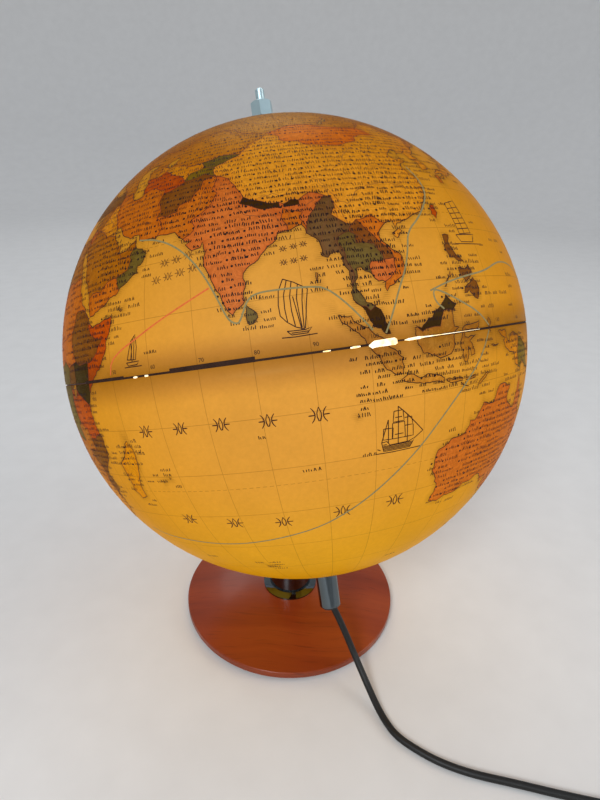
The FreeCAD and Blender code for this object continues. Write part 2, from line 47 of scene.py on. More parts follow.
# ------------------------------------------------------------------ node helpers
def wire(t, n, **values):
    """Gives a node its settings, as s_name, and its inputs, by name or by number as i0."""
    for k, v in values.items():
        if k.startswith("s_"):
            setattr(n, k[2:], v)
            continue
        socket = n.inputs[int(k[1:]) if k[1:].isdigit() else k.replace("_", " ")]
        if isinstance(v, bpy.types.NodeSocket):
            t.links.new(v, socket)
        else:
            socket.default_value = v
    return n


def node(t, kind, **values):
    return wire(t, t.nodes.new("ShaderNode" + kind), **values)


def material(name, **constants):
    """New node material with one Principled shader; constants go straight on its sockets."""
    m = bpy.data.materials.new(name)
    m.use_nodes = True
    t = m.node_tree
    t.nodes.clear()
    out = t.nodes.new("ShaderNodeOutputMaterial")
    p = node(t, "BsdfPrincipled", **constants)
    t.links.new(p.outputs[0], out.inputs[0])
    return m, t, p


def calc(t, op, *values, clamp=False):
    inputs = {f"i{k}": v for k, v in enumerate(values)}
    return node(t, "Math", s_operation=op, s_use_clamp=clamp, **inputs).outputs[0]


def times(t, a, b):
    return calc(t, "MULTIPLY", a, b)


def spread(t, a, width, low):
    """Turns 0 to 1 into low to low + width."""
    return calc(t, "MULTIPLY_ADD", a, width, low)


def mix(t, fac, a, b, blend="MIX"):
    return node(t, "Mix", s_data_type="RGBA", s_blend_type=blend, s_clamp_factor=True,
                i0=fac, i6=a, i7=b).outputs[2]


def ramp(t, fac, stops):
    n = node(t, "ValToRGB", i0=fac)
    e = n.color_ramp.elements
    while len(e) < len(stops):
        e.new(0.5)
    for s, (position, colour) in zip(e, stops):
        s.position = position
        s.color = (*colour, 1)
    return n.outputs[0]


def place(t, scale=(1, 1, 1), turn=(0, 0, 0)):
    """Object coordinates, scaled and turned."""
    here = t.nodes.new("ShaderNodeTexCoord").outputs["Object"]
    return node(t, "Mapping", Vector=here, Scale=scale, Rotation=turn).outputs[0]


def mottle(t, vec, scale, detail, **values):
    return node(t, "TexNoise", Vector=vec, Scale=scale, Detail=detail, **values).outputs[0]


def bump(t, p, height, strength, distance):
    wire(t, p, Normal=node(t, "Bump", Height=height, Strength=strength, Distance=distance).outputs[0])


def lin(r, g, b):
    """Linear colour from screen colour 0 to 255."""
    return tuple(((c / 255 + 0.055) / 1.055) ** 2.4 if c > 10 else c / 3295 for c in (r, g, b))


def rgba(r, g, b):
    return lin(r, g, b) + (1.0,)


# ------------------------------------------------------------------ object helpers
def paint(m, *names):
    for name in names:
        o = NODES[name]
        o.data.materials.clear()
        o.data.materials.append(m)


def in_scene(o):
    SCENE.collection.objects.link(o)
    return o


def mesh_object(name, verts, faces, m, smooth=True):
    me = bpy.data.meshes.new(name)
    me.from_pydata([tuple(v) for v in verts], [], faces)
    me.update()
    me.materials.append(m)
    me.polygons.foreach_set("use_smooth", [smooth] * len(me.polygons))
    return in_scene(bpy.data.objects.new(name, me))


def new_mesh(name, verts, faces, m, body, smooth=True):
    o = mesh_object(name, verts, faces, m, smooth)
    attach(o, body)
    return o


def squeeze(lat, least=0.1):
    """How much shorter a degree of longitude is at a latitude."""
    return max(math.cos(math.radians(lat)), least)


# ------------------------------------------------------------------ camera
EYE = (-0.153326, -0.345364, 0.377849)
RIGHT = Vector((0.914709, -0.403250, 0.026409))
UP = Vector((0.159078, 0.419375, 0.893766))
BACK = RIGHT.cross(UP).normalized()
UP = BACK.cross(RIGHT)
cam = in_scene(bpy.data.objects.new("camera", bpy.data.cameras.new("camera")))
cam.data.sensor_width = 36.0
cam.data.lens = 26.351
cam.data.clip_start = 0.02
cam.data.clip_end = 30.0
cam.matrix_world = Matrix.Translation(EYE) @ Matrix((RIGHT, UP, BACK)).transposed().to_4x4()
SCENE.camera = cam

# ------------------------------------------------------------------ cord
# the same chosen points as the CAD route
ROUTE = [
    (0.0, -0.06699, 0.07093), (0.0, -0.06998, 0.06406), (0.0013, -0.07297, 0.05718),
    (0.0046, -0.0767, 0.0485), (0.0083, -0.0818, 0.0370), (0.0109, -0.0880, 0.0270),
    (0.0130, -0.0976, 0.0170), (0.0142, -0.1108, 0.0084), (0.0141, -0.1244, 0.0039),
    (0.0144, -0.1360, 0.0026), (0.0158, -0.1465, 0.0025), (0.0216, -0.1578, 0.0025),
    (0.0315, -0.1722, 0.0025), (0.0465, -0.1867, 0.0025), (0.0660, -0.2007, 0.0025),
    (0.0865, -0.2162, 0.0025), (0.1077, -0.2315, 0.0025), (0.1298, -0.2486, 0.0052),
    (0.1749, -0.2850, 0.0052), (0.1973, -0.3019, 0.0032), (0.2082, -0.3106, 0.0032)]
CORD_R = 0.0024
COIL = Vector((0.205245, -0.349569, 0.0))
# the turns' places in the bundle, from the first to the last: radius and height
ROUNDS = [(0.0323, 0.0032), (0.0275, 0.0032), (0.0227, 0.0032), (0.0227, 0.0080),
          (0.0275, 0.0080), (0.0227, 0.0128), (0.0275, 0.0128), (0.0323, 0.0128),
          (0.0323, 0.0080)]
# the coil's full turns, its points to a turn, and the points past the last turn
TURNS, PER_TURN, TAIL = 8, 16, 6
points = [Vector(p) for p in ROUTE]
first_a, last_a = math.radians(51.4), math.radians(-90 - 360 * TURNS)
steps = TURNS * PER_TURN + TAIL
for k in range(steps + 1):
    a = first_a + (last_a - first_a) * k / steps
    gone = (first_a - a) / math.tau
    n = min(int(gone), TURNS - 1)
    # each turn steps over to its next place within a fifth of a turn
    s = min(max((gone - n - 0.62 - 0.04 * (n % 3)) / 0.22, 0.0), 1.0)
    s = s * s * (3 - 2 * s)
    r, z = (now * (1 - s) + later * s for now, later in zip(ROUNDS[n], ROUNDS[n + 1]))
    if gone > TURNS:
        r, z = ROUNDS[TURNS][0], ROUNDS[TURNS][1] - 0.0012 * (gone - TURNS) / 0.393
    r *= 1.012 if 0.05 < gone < 8.35 else 1.0
    points.append(COIL + Vector((r * math.cos(a), r * math.sin(a), z)))
points += [COIL + Vector((x, -0.0323, 0.0068)) for x in (-0.008, -0.015, -0.022)]
curve = bpy.data.curves.new("cord_line", "CURVE")
curve.dimensions = "3D"
spline = curve.splines.new("NURBS")
spline.points.add(len(points) - 1)
for p, c in zip(spline.points, points):
    p.co = (*c, 1.0)
spline.order_u = 3
spline.use_endpoint_u = True
spline.resolution_u = 8
curve.bevel_depth = CORD_R
curve.bevel_resolution = 5
curve.use_fill_caps = True
cord = in_scene(bpy.data.objects.new("cord_line", curve))

rubber, t, p = material("cord_rubber", Roughness=0.52, Specular_IOR_Level=0.42)
v = place(t)
fine = mottle(t, v, 900.0, 4.0, Roughness=0.6)
soft = mottle(t, v, 60.0, 3.0)
col = mix(t, soft, rgba(13, 12, 12), rgba(25, 24, 23))
wire(t, p, Base_Color=mix(t, fine, col, rgba(19, 18, 17)), Roughness=spread(t, soft, 0.22, 0.40))
bump(t, p, fine, 0.25, 0.0002)
curve.materials.append(rubber)
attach(cord, "stand")
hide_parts("power_cord", "cord_coil")

# ------------------------------------------------------------------ printed map, longitude and latitude
COASTS = {
    "afro_eurasia": """32.6 29.9 33.2 28.6 34.2 27.8 34.9 29.5 35 28.1 35.7 27.3 36.9 25.6 37.3 24.4 38.5 23.7 39 22
 39.2 21 40.3 20 41.2 18.8 42.2 17.4 42.7 16.3 42.8 15 43.2 13.6 43.5 12.7 45 12.8 46.5 13.4 48.5 14 50 15 52.2 15.6
 53.2 16.6 55.3 17.6 56.8 18.7 57.8 19 57.8 20.2 58.6 20.4 59.4 21.5 59.8 22.5 58.6 23.6 57 24 56.4 24.9 56.3 26.3 55.2
 25.3 54 24.2 51.8 24 51.6 24.6 51.3 26.1 50.8 25 50.2 26.5 49 27.6 48.3 28.8 48 30 48.9 30.3 50.1 30.1 50.9 28.8 52.5
 27.5 54.5 26.6 56.3 27 57 26.9 57.3 25.7 59.5 25.4 61.6 25.1 64.6 25.3 66.4 25.4 67 24.7 68.2 23.7 69 22.9 70.3 22.9
 69 22.3 70.4 20.9 72.2 21.2 72.6 22.2 72.8 21 72.8 19 73.4 16.5 74.1 14.8 74.9 12.8 75.8 11.2 76.3 9.8 77.5 8.1 78.2
 8.9 79 9.3 79.9 10.3 79.8 11.8 80.3 13.4 80.1 15 80.8 15.8 82.3 16.6 83.5 17.8 85 19.3 86.5 20.2 87 21.4 88.3 21.7
 89.5 21.8 90.5 22.3 91.6 22.6 92.3 20.8 93.7 19.7 94.4 18.3 94.3 16.2 95.3 15.8 96.5 16.6 97.5 16.6 97.8 14.8 98.6 13
 98.6 11 98.3 9.2 98.4 7.9 99.8 6.5 100.4 5.2 101.3 3 103.4 1.4 104.2 1.4 103.5 3.5 103.3 4.8 102.2 6.2 100.6 7.2 100
 8.6 99.3 9.6 99.3 11 99.9 12.5 100.1 13.4 100.9 13.4 101.5 12.6 102.6 12 103.6 10.6 104.9 10.4 104.8 8.7 106.5 9.8
 107.2 10.5 109.1 11.5 109.3 13.2 108.6 15.6 107 17 105.8 19 106.6 20.3 108.1 21.5 109.6 21.6 109.9 20.4 110.5 21.2
 111.9 21.7 113.7 22.2 114.4 22.6 116.6 23.3 118.2 24.5 119.7 26 121 28 122 29.8 121.2 30.6 121.9 31.5 120.9 32.8 119.4
 34.8 120.3 36.1 122.4 37 121 37.7 119.2 37.2 118 38.6 119.6 39.9 121 40.8 122.1 40.5 121.3 38.9 123 39.7 124.6 39.9
 125.2 38.6 124.9 38 126.6 37.4 126.5 35.6 126.4 34.5 127.8 34.8 129.1 35.2 129.4 36.8 128.4 38.4 127.4 39.6 129.7 41
 130.6 42.3 132.2 43.2 135.6 44.6 138.3 47 140.3 49.5 140.5 51 141.3 52.8 140 54 137 54.2 135.5 55 138 56.5 142.5 59.2
 146 59.4 149 59.7 152 59 155 59.4 157 61.6 160 61.8 163 62.4 162.5 60.5 160 60.2 158 58 156 56.5 155.7 54 156.5 51.2
 158.5 53 160.2 54.5 162.2 56.2 163.2 58 164.7 59.9 170 60 173 61.8 177 62.5 179.5 62.7 178 64.5 181 65.2 184 64.6 187
 64.6 190 66.1 186 67.2 180 68.9 176 69.8 170 69.9 161 69.5 152 70.9 146 72.4 140 72.6 135 71.6 129.5 71.2 127 73.2 123
 73.1 114 73.7 113 75.9 105 77.5 99 76.4 92 75.8 86 74 80.7 73.5 80.5 72.2 75.5 72.8 73 71.5 74 68.5 72 66.5 71.5 69 70
 73 67 71.2 67.5 69 64.5 69.3 60.5 68.9 57 68.5 54 68.9 48 67.7 44.5 68.3 43.8 66.2 40 64.6 37 65 34.5 64.5 34.8 66.2
 33 67 40.5 66.5 36 69.1 31 69.8 26 71 20 70 15 68.3 12.5 66 10 63.8 5.2 62 5 60 6 58.3 8.5 58.2 10.6 59.5 11.5 58.5
 12.7 56.4 14.3 55.5 16.3 56.6 17 58.7 18.8 60 17.3 61.5 18.5 63 21.5 64.9 24 65.8 25.2 65 21.5 62.8 21.5 61 23 60 28
 60.5 29.8 60 27.5 59.4 23.5 59.2 24.2 57.5 21.5 57.3 21 55.3 19.5 54.4 18 54.8 14.2 54 11 54.2 10.5 57.4 8.2 56.8 8.6
 54.3 6.5 53.5 4.5 52.3 2.5 51.1 1.5 50.2 -1.5 49.6 -4.7 48.5 -2 47 -1.2 45 -1.7 43.4 -8 43.7 -9.2 42.8 -8.8 41 -9.4
 38.8 -8.9 37 -6.4 36.9 -5.6 36.1 -2.2 36.8 -0.5 38.2 0.2 38.8 -0.3 39.7 3.2 42 3.2 43.2 6 43.1 8.9 44.3 10.4 43.4 12.3
 41.7 15.7 40 16.1 38 17.1 39 16.8 40.5 18.4 40.2 16 41.8 13.6 43.6 12.4 45.3 13.7 45.6 15.5 44 19.3 41.8 19.4 40.3
 21.1 38.4 21.6 36.9 22.9 36.5 24 37.8 22.9 40.3 24.5 40.7 26.1 40.7 28.9 40.9 26.3 39.9 26.8 38.4 27.4 37 30.5 36.5
 32.8 36.1 36.1 36.8 35.8 35 35 32.8 34.2 31.3 32.3 31.2 31 31.5 29 30.9 25.2 31.5 23 32.6 20 31 19.5 30.4 15.5 32.2 11
 33.5 10.3 34.5 11 36.9 9.8 37.3 3 36.8 -2 35.2 -5.5 35.7 -6.8 34 -9.6 31 -10.1 29.5 -13 27.7 -16 23.7 -17 21 -16.3
 18.5 -17.4 14.7 -16.7 12.4 -14.5 10.3 -13.2 8.5 -11 6.6 -7.6 4.4 -3 5.1 1 6.1 4.4 6.4 6 4.3 8.8 4.6 9.8 3 9.3 0.5 8.8
 -0.8 11 -3.9 12.3 -6 13.4 -8.8 13.8 -11.5 12.5 -14 11.8 -17 14 -21.5 14.5 -23 15.2 -26.7 17 -29.5 18.3 -32.2 18.4
 -34.2 20 -34.8 25.7 -34 28 -32.8 30.8 -30.6 32.6 -28.4 32.9 -26 35.5 -24 35.4 -21.5 34.8 -19.8 37.5 -17.5 40.5 -15
 40.6 -11 39.4 -8.5 39.3 -6.2 39.6 -4.2 41 -2 42.7 -0.4 45.2 2 48 4.5 49.8 8 51.1 10.5 51.2 11.9 48 11.2 44.8 10.5 43.2
 11.5 42.5 13 41 14.8 39.6 15.6 38.5 18 37.3 19 37.2 21 35.6 23.2 35.5 24 33.8 26.8""",
    "black_sea": """29 41.2 28 42.5 28.7 44.2 30.8 46.4 33 46 33.5 44.6 35.4 45 36 46.6 39 47.2 37.5 45.4 39 44 41.5 42
 41.4 41.4 38 41 35 42 32 41.7 31 41.1""",
    "caspian": """49 38.5 49 40 47.5 42.8 47 45 49 46.3 51.5 46.9 53 46.7 52.8 45.3 51 44.5 52.5 41.5 53.5 40.5 53 39
 54 37.2 51 36.7""",
    "aral": "58.3 44 58.3 46 60 46.8 61.5 46.2 60.5 44.2 59.5 43.4",
    "baikal": "104 51.5 106 53 109 55.6 109.8 55.4 108.5 53.4 105.5 51.4",
    "victoria": "31.8 -2.4 31.8 -0.6 33 0.4 34.2 0.2 33.8 -1.4 33 -2.6",
    "tanganyika": "29.3 -3.4 29.6 -6 30.8 -8.7 31 -8.4 30 -6 29.5 -3.4",
    "britain": """-5.5 50.1 -3.5 50.3 1.4 51.2 1.7 52.7 0 53.3 -1.5 55 -2 57.5 -4 57.7 -3 58.6 -5.8 58.4 -6 56.5 -4.8
 55 -3 54.2 -4.6 53.2 -5 51.8 -3 51.4""",
    "ireland": "-6.3 52.2 -6 54 -8 55.3 -10 54 -10.2 52 -9 51.6",
    "iceland": "-22.6 63.9 -18.5 63.4 -14 65 -16 66.5 -22.5 66.3 -24 65.4 -21.8 64.5",
    "sicily": "12.5 37.9 15.4 38.2 15.1 36.8",
    "sardinia": "8.4 39 9.6 39.2 9.4 42.8 8.6 42.2 8.3 40.6",
    "crete": "23.6 35.3 26.2 35.2 24.8 34.9", "cyprus": "32.4 34.8 34.4 35.6 33.6 34.7",
    "svalbard": "13.5 77 16.8 76.6 20.5 78.4 26 79.5 20 80.2 12 79.6",
    "novaya_zemlya": "52 71 56 70.7 57 72.5 62 75.4 68.5 76.8 62 76.2 55.5 74.5 52.6 72.4",
    "severnaya": "96 79 104 78.6 98 80.8", "new_siberian": "138 74.5 150 75 143 75.9 138 75.8",
    "madagascar": """49.3 -12.1 50.4 -15.6 49.4 -18.4 47.2 -24.9 45 -25.5 43.6 -23.4 44.4 -20 44 -17.2 46.3 -15.7 48
 -13.6""",
    "sri_lanka": "79.9 9.7 81.2 8.4 81.8 7.1 81 6.2 80.2 6.1 79.8 7.6",
    "socotra": "53.4 12.6 54.4 12.5 53.8 12.3", "andaman": "92.7 13.4 93 13.2 92.8 11.6 92.6 12",
    "hainan": "108.7 19.2 110.4 20.1 111 19.6 109.6 18.2", "taiwan": "120.1 23 121 25.1 121.9 25 120.9 22",
    "luzon": """120.6 18.5 122.2 18.4 121.6 16 122.4 14.4 124 13 123.2 13.1 121.7 13.9 120.6 13.9 120.3 14.8 119.9 16.2
 120.4 16.6""",
    "palawan": "117.2 8.4 119.4 11.2 119.6 10.6 117.6 8.5",
    "visayas": "122 11.9 123.4 11.5 125 12.4 125.6 11 124.8 10.1 123.2 9.2 122.5 10 122 10.6",
    "mindanao": "122 7 123.4 8.6 125.4 9.8 126.5 7.8 125.6 5.7 124.2 6.6 123.4 7.5",
    "sumatra": """95.3 5.6 97.5 5.2 100.3 2.8 103 0.6 103.8 -1 106 -3 105.8 -5.8 104.6 -5.8 102.3 -4 100.4 -1 98.8 1.6
 97 3.4""",
    "java": "105.3 -6.8 106.8 -6 108.6 -6.7 110.8 -6.5 112.8 -6.9 114.5 -7.8 114.4 -8.7 110 -8.2 106.5 -7.4",
    "borneo": """109 1.8 110.4 1.6 111.4 2.4 113 3.2 115.2 5 117 7 119.2 5.2 117.8 3.7 117.8 1.2 119 0.9 117.4 -0.6
 116.4 -3.6 114.5 -4 112 -3.3 110.2 -2.8 109.2 -0.4""",
    "sulawesi": """119.8 0.6 121 1.2 124.8 1.6 124.4 0.5 120.4 0.4 120.2 -1 122 -0.9 123.2 -0.9 121.4 -1.9 122.6 -4.4
 121.6 -4.6 121 -2.8 120.3 -5.6 119.6 -5.4 119.4 -3.4 118.9 -2.7""",
    "halmahera": "127.4 0.8 127.9 2 128.6 1 127.9 0.2 128.2 -0.8 127.7 -0.3",
    "seram": "128 -3.2 130.8 -3.3 129.6 -3.6",
    "bali": "114.7 -8.2 116.7 -8.4 119 -8.4 119 -8.9 116 -8.9", "flores": "119.9 -8.5 122.8 -8.2 122.6 -8.8 120 -8.9",
    "timor": "123.6 -10.3 125 -9.1 127.2 -8.4 126 -9.2 124.4 -10.2", "sumba": "119 -9.5 120.7 -10.2 119.2 -9.8",
    "new_guinea": """131 -0.8 134 -0.8 135 -3.3 137.8 -1.5 141 -2.6 144.5 -3.9 147.7 -6 150.8 -10.3 147.2 -9.6 144 -7.7
 142.6 -9.2 139 -8.1 138 -5.5 133.5 -4 132.8 -2.8 134 -2.4""",
    "new_britain": "148.5 -5.8 151.5 -4.2 152 -5.2 150 -6.3",
    "australia": """113.8 -22.5 114.1 -21.8 116.8 -20.6 119 -20 121 -19.6 122.2 -18.2 122.2 -17.2 123.6 -17.4 124.4
 -16.4 126 -14.2 128 -14.8 129.6 -14.9 130.6 -12.6 132.6 -11.4 135.2 -12.2 136.8 -12.2 135.8 -14.8 139.3 -17.4 140.8
 -17.5 141.6 -14.5 142.4 -10.8 143.5 -14.3 145.4 -15 146.2 -18.8 148.8 -20.4 150.8 -23.4 153.1 -25 153.6 -28.5 152.5
 -32.4 150 -37.3 146.4 -39 144 -38.2 140.8 -38 138.2 -35.6 137.8 -33 136 -34.8 134.2 -32.8 131.2 -31.5 126 -32.3 123.8
 -33.9 120 -33.9 117.8 -35 115.1 -34.3 115.8 -32 114.9 -29.2 113.4 -26.2 113.6 -24""",
    "tasmania": "144.7 -40.8 148.3 -40.9 148 -43 146.5 -43.6 145.3 -42.5",
    "north_island": "172.7 -34.4 174.8 -36.4 178.4 -37.7 177 -39.4 175.3 -41.6 174 -39.4 174.8 -38",
    "south_island": "172.8 -40.6 174.3 -41.6 172.8 -43.8 170.6 -45.9 168.4 -46.6 166.6 -45.8 169 -43.8 171.4 -42.2",
    "kyushu": "130 33.4 131.9 33.4 131.4 31.3 130.2 31.4", "shikoku": "132.4 33.4 134.6 34.2 134.2 33.4 133 32.8",
    "honshu": """131 34 133.4 34.5 135.1 34.6 135.8 33.5 137 34.6 138.8 34.7 140.8 35.7 141 38.2 142 39.6 141.3 41.4
 140.3 41 139.8 39 138.5 37.2 137 37.4 136 35.7 133 35.5 131.4 34.5""",
    "hokkaido": "140.1 41.6 141.4 42.5 143.2 42 145.4 43.3 144.2 44 141.8 45.4 141.4 43.4 140 42.8",
    "sakhalin": "142 46 143.5 46.8 142.8 49 143.6 50 142.6 54.3 142 52 142 48",
    "new_caledonia": "164 -20.2 167 -22.3 165.8 -21.6", "fiji": "177.4 -17.6 178.6 -17.8 178.2 -18.2",
    "kerguelen": "68.9 -48.8 70.4 -49.2 69 -49.6", "reunion": "55.3 -20.9 55.8 -21 55.6 -21.3",
    "mauritius": "57.4 -20.1 57.8 -20.3 57.5 -20.5", "cocos": "96.7 -12 97 -12.1 96.8 -12.3",
    "america": """-168 65.6 -162 66.8 -166 68.4 -156.5 71.2 -141 69.7 -129 70 -124 69.6 -115 68.5 -108 68 -98 67.8 -94
 71.8 -90 68.8 -86 68 -82 69.5 -82 67 -87 65 -94 61 -94.8 59 -92.5 57 -85 55.4 -82.3 54.5 -82.3 52.8 -80 51.3 -79 51.8
 -79.5 54.5 -77 56 -78.5 58.7 -77.5 62.5 -73 62.3 -69.6 61 -69.5 58.9 -66 58.7 -64.6 60.3 -61.5 57 -57.3 54.6 -56 52
 -60 50.2 -66.5 50.2 -68.5 48.5 -64.3 48.8 -65 47 -61 45.8 -65.5 43.6 -66.5 45.2 -70 43.7 -70.6 41.8 -74 40.6 -75.5 38
 -76 36 -75.6 35.2 -78.5 33.8 -81.3 31.4 -80.1 27 -80.4 25.2 -81.8 26 -82.8 28 -84 30 -88 30.3 -90 29.2 -94 29.6 -97.2
 27.8 -97.8 22.5 -96 19 -94.5 18.2 -91.5 18.6 -90.4 21 -87 21.5 -88 18 -88.5 15.8 -84 15.8 -83.4 12.5 -83.6 10.8 -82 9
 -79.5 9.5 -77 8.3 -75.5 10.6 -71.6 12.4 -71.5 10.8 -68 11.6 -66 10.4 -62 10.7 -60 8.4 -57 6 -51.6 4.3 -50 0.5 -48.5
 -1.2 -44.5 -2.5 -40 -2.8 -37.2 -4.7 -35.3 -5.4 -34.9 -8 -37 -11 -39 -13.5 -39 -18 -41 -22 -44 -23 -48 -25.5 -48.7
 -28.3 -52 -32.6 -54 -34.6 -58.3 -34 -57 -36.4 -58.2 -38.3 -62.3 -39 -63.8 -41.1 -65 -43 -67.5 -46.2 -66 -48 -69 -50.8
 -68.5 -52.5 -65.3 -54.8 -68.5 -55.5 -72 -54 -75 -50.5 -75 -46.8 -73 -43 -73.6 -39.5 -71.6 -33 -71.4 -30 -70.2 -19.5
 -71.4 -17.5 -76.2 -13.8 -79.8 -7.2 -81.3 -4.8 -80 -3 -81 -2.2 -80 0.8 -77.4 3.8 -78.2 7.6 -80 7.3 -83 8.2 -85.8 10.2
 -87.6 13 -92.3 14.5 -95 16.2 -99.8 16.8 -105.5 19.9 -105.6 22.5 -109.4 26.5 -113 31 -114.7 31.4 -112 27.2 -109.5 23.1
 -112 24.6 -115 28 -117.1 32.5 -120.6 34.6 -122.5 37.8 -124.3 40.4 -124 46.3 -124.6 48.4 -122.6 48.8 -127.5 51 -130.3
 54.8 -135 58.4 -140 59.8 -146 60.8 -151.5 59.3 -154 59 -158.5 56 -163 54.8 -158 58.6 -162 58.8 -165.8 61.2 -161 64.4
 -166.4 64.6""",
    "vancouver": "-128 50.8 -125.4 50.2 -123.5 48.4", "newfoundland": "-59.3 47.8 -55.8 51.5 -53 47 -55.8 46.9",
    "cuba": "-84.8 21.9 -82 23.1 -79 22.6 -74.3 20.2 -77.6 19.9 -78 21 -82 22.4",
    "hispaniola": "-74.4 18.5 -73 19.9 -69 19 -68.6 18.2 -71.4 17.7",
    "victoria_island": "-116 69.4 -105 69 -105 72.6 -110 73 -117 73",
    "baffin": "-80 73.7 -88 72.4 -84 70 -72 67 -72 64.4 -66 62 -64 65.3 -62 67 -68 70.5 -76 72.6",
    "ellesmere": "-88 76.5 -80 76.3 -75 78.5 -62 82.4 -75 83 -92 81 -87 79",
    "banks": "-125 72 -119 71.8 -117 74 -124 74.3",
    "greenland": """-44 60 -41 63 -39.5 65.5 -30 68.2 -22 70.5 -19 74 -18.5 78 -12.5 81.4 -30 83.5 -58 82 -66 80 -72 78
 -67 76 -58 75 -54.6 71.5 -51 69 -53.6 66.5 -50 62.6""",
    "hawaii": "-156 20.3 -154.9 19.6 -155.8 19", "galapagos": "-91.4 0 -90.4 -0.5 -91 -1",
    "falklands": "-61 -51.8 -58 -51.5 -58.5 -52.1",
}
SOUTH_LAND = """-169 -77.8 -158 -77 -146 -75.4 -135 -74.4 -114 -74 -100 -72.4 -88 -73 -76 -73.4 -68 -71 -66.5 -67.5 -61
 -64.4 -58 -63.6 -61.5 -66.5 -63 -71 -62 -75 -48 -78 -36 -78.2 -28 -76 -18 -73.2 -10 -71 2 -70 18 -69.8 33 -68.6 40
 -69.4 50 -67 58 -67.3 70 -68.4 74 -69.8 82 -67.5 92 -66.6 104 -66.2 115 -66.8 130 -66.2 143 -67 155 -69 166 -70.7 170
 -72 165 -75.5 166 -78 180 -78.2 191 -77.8"""
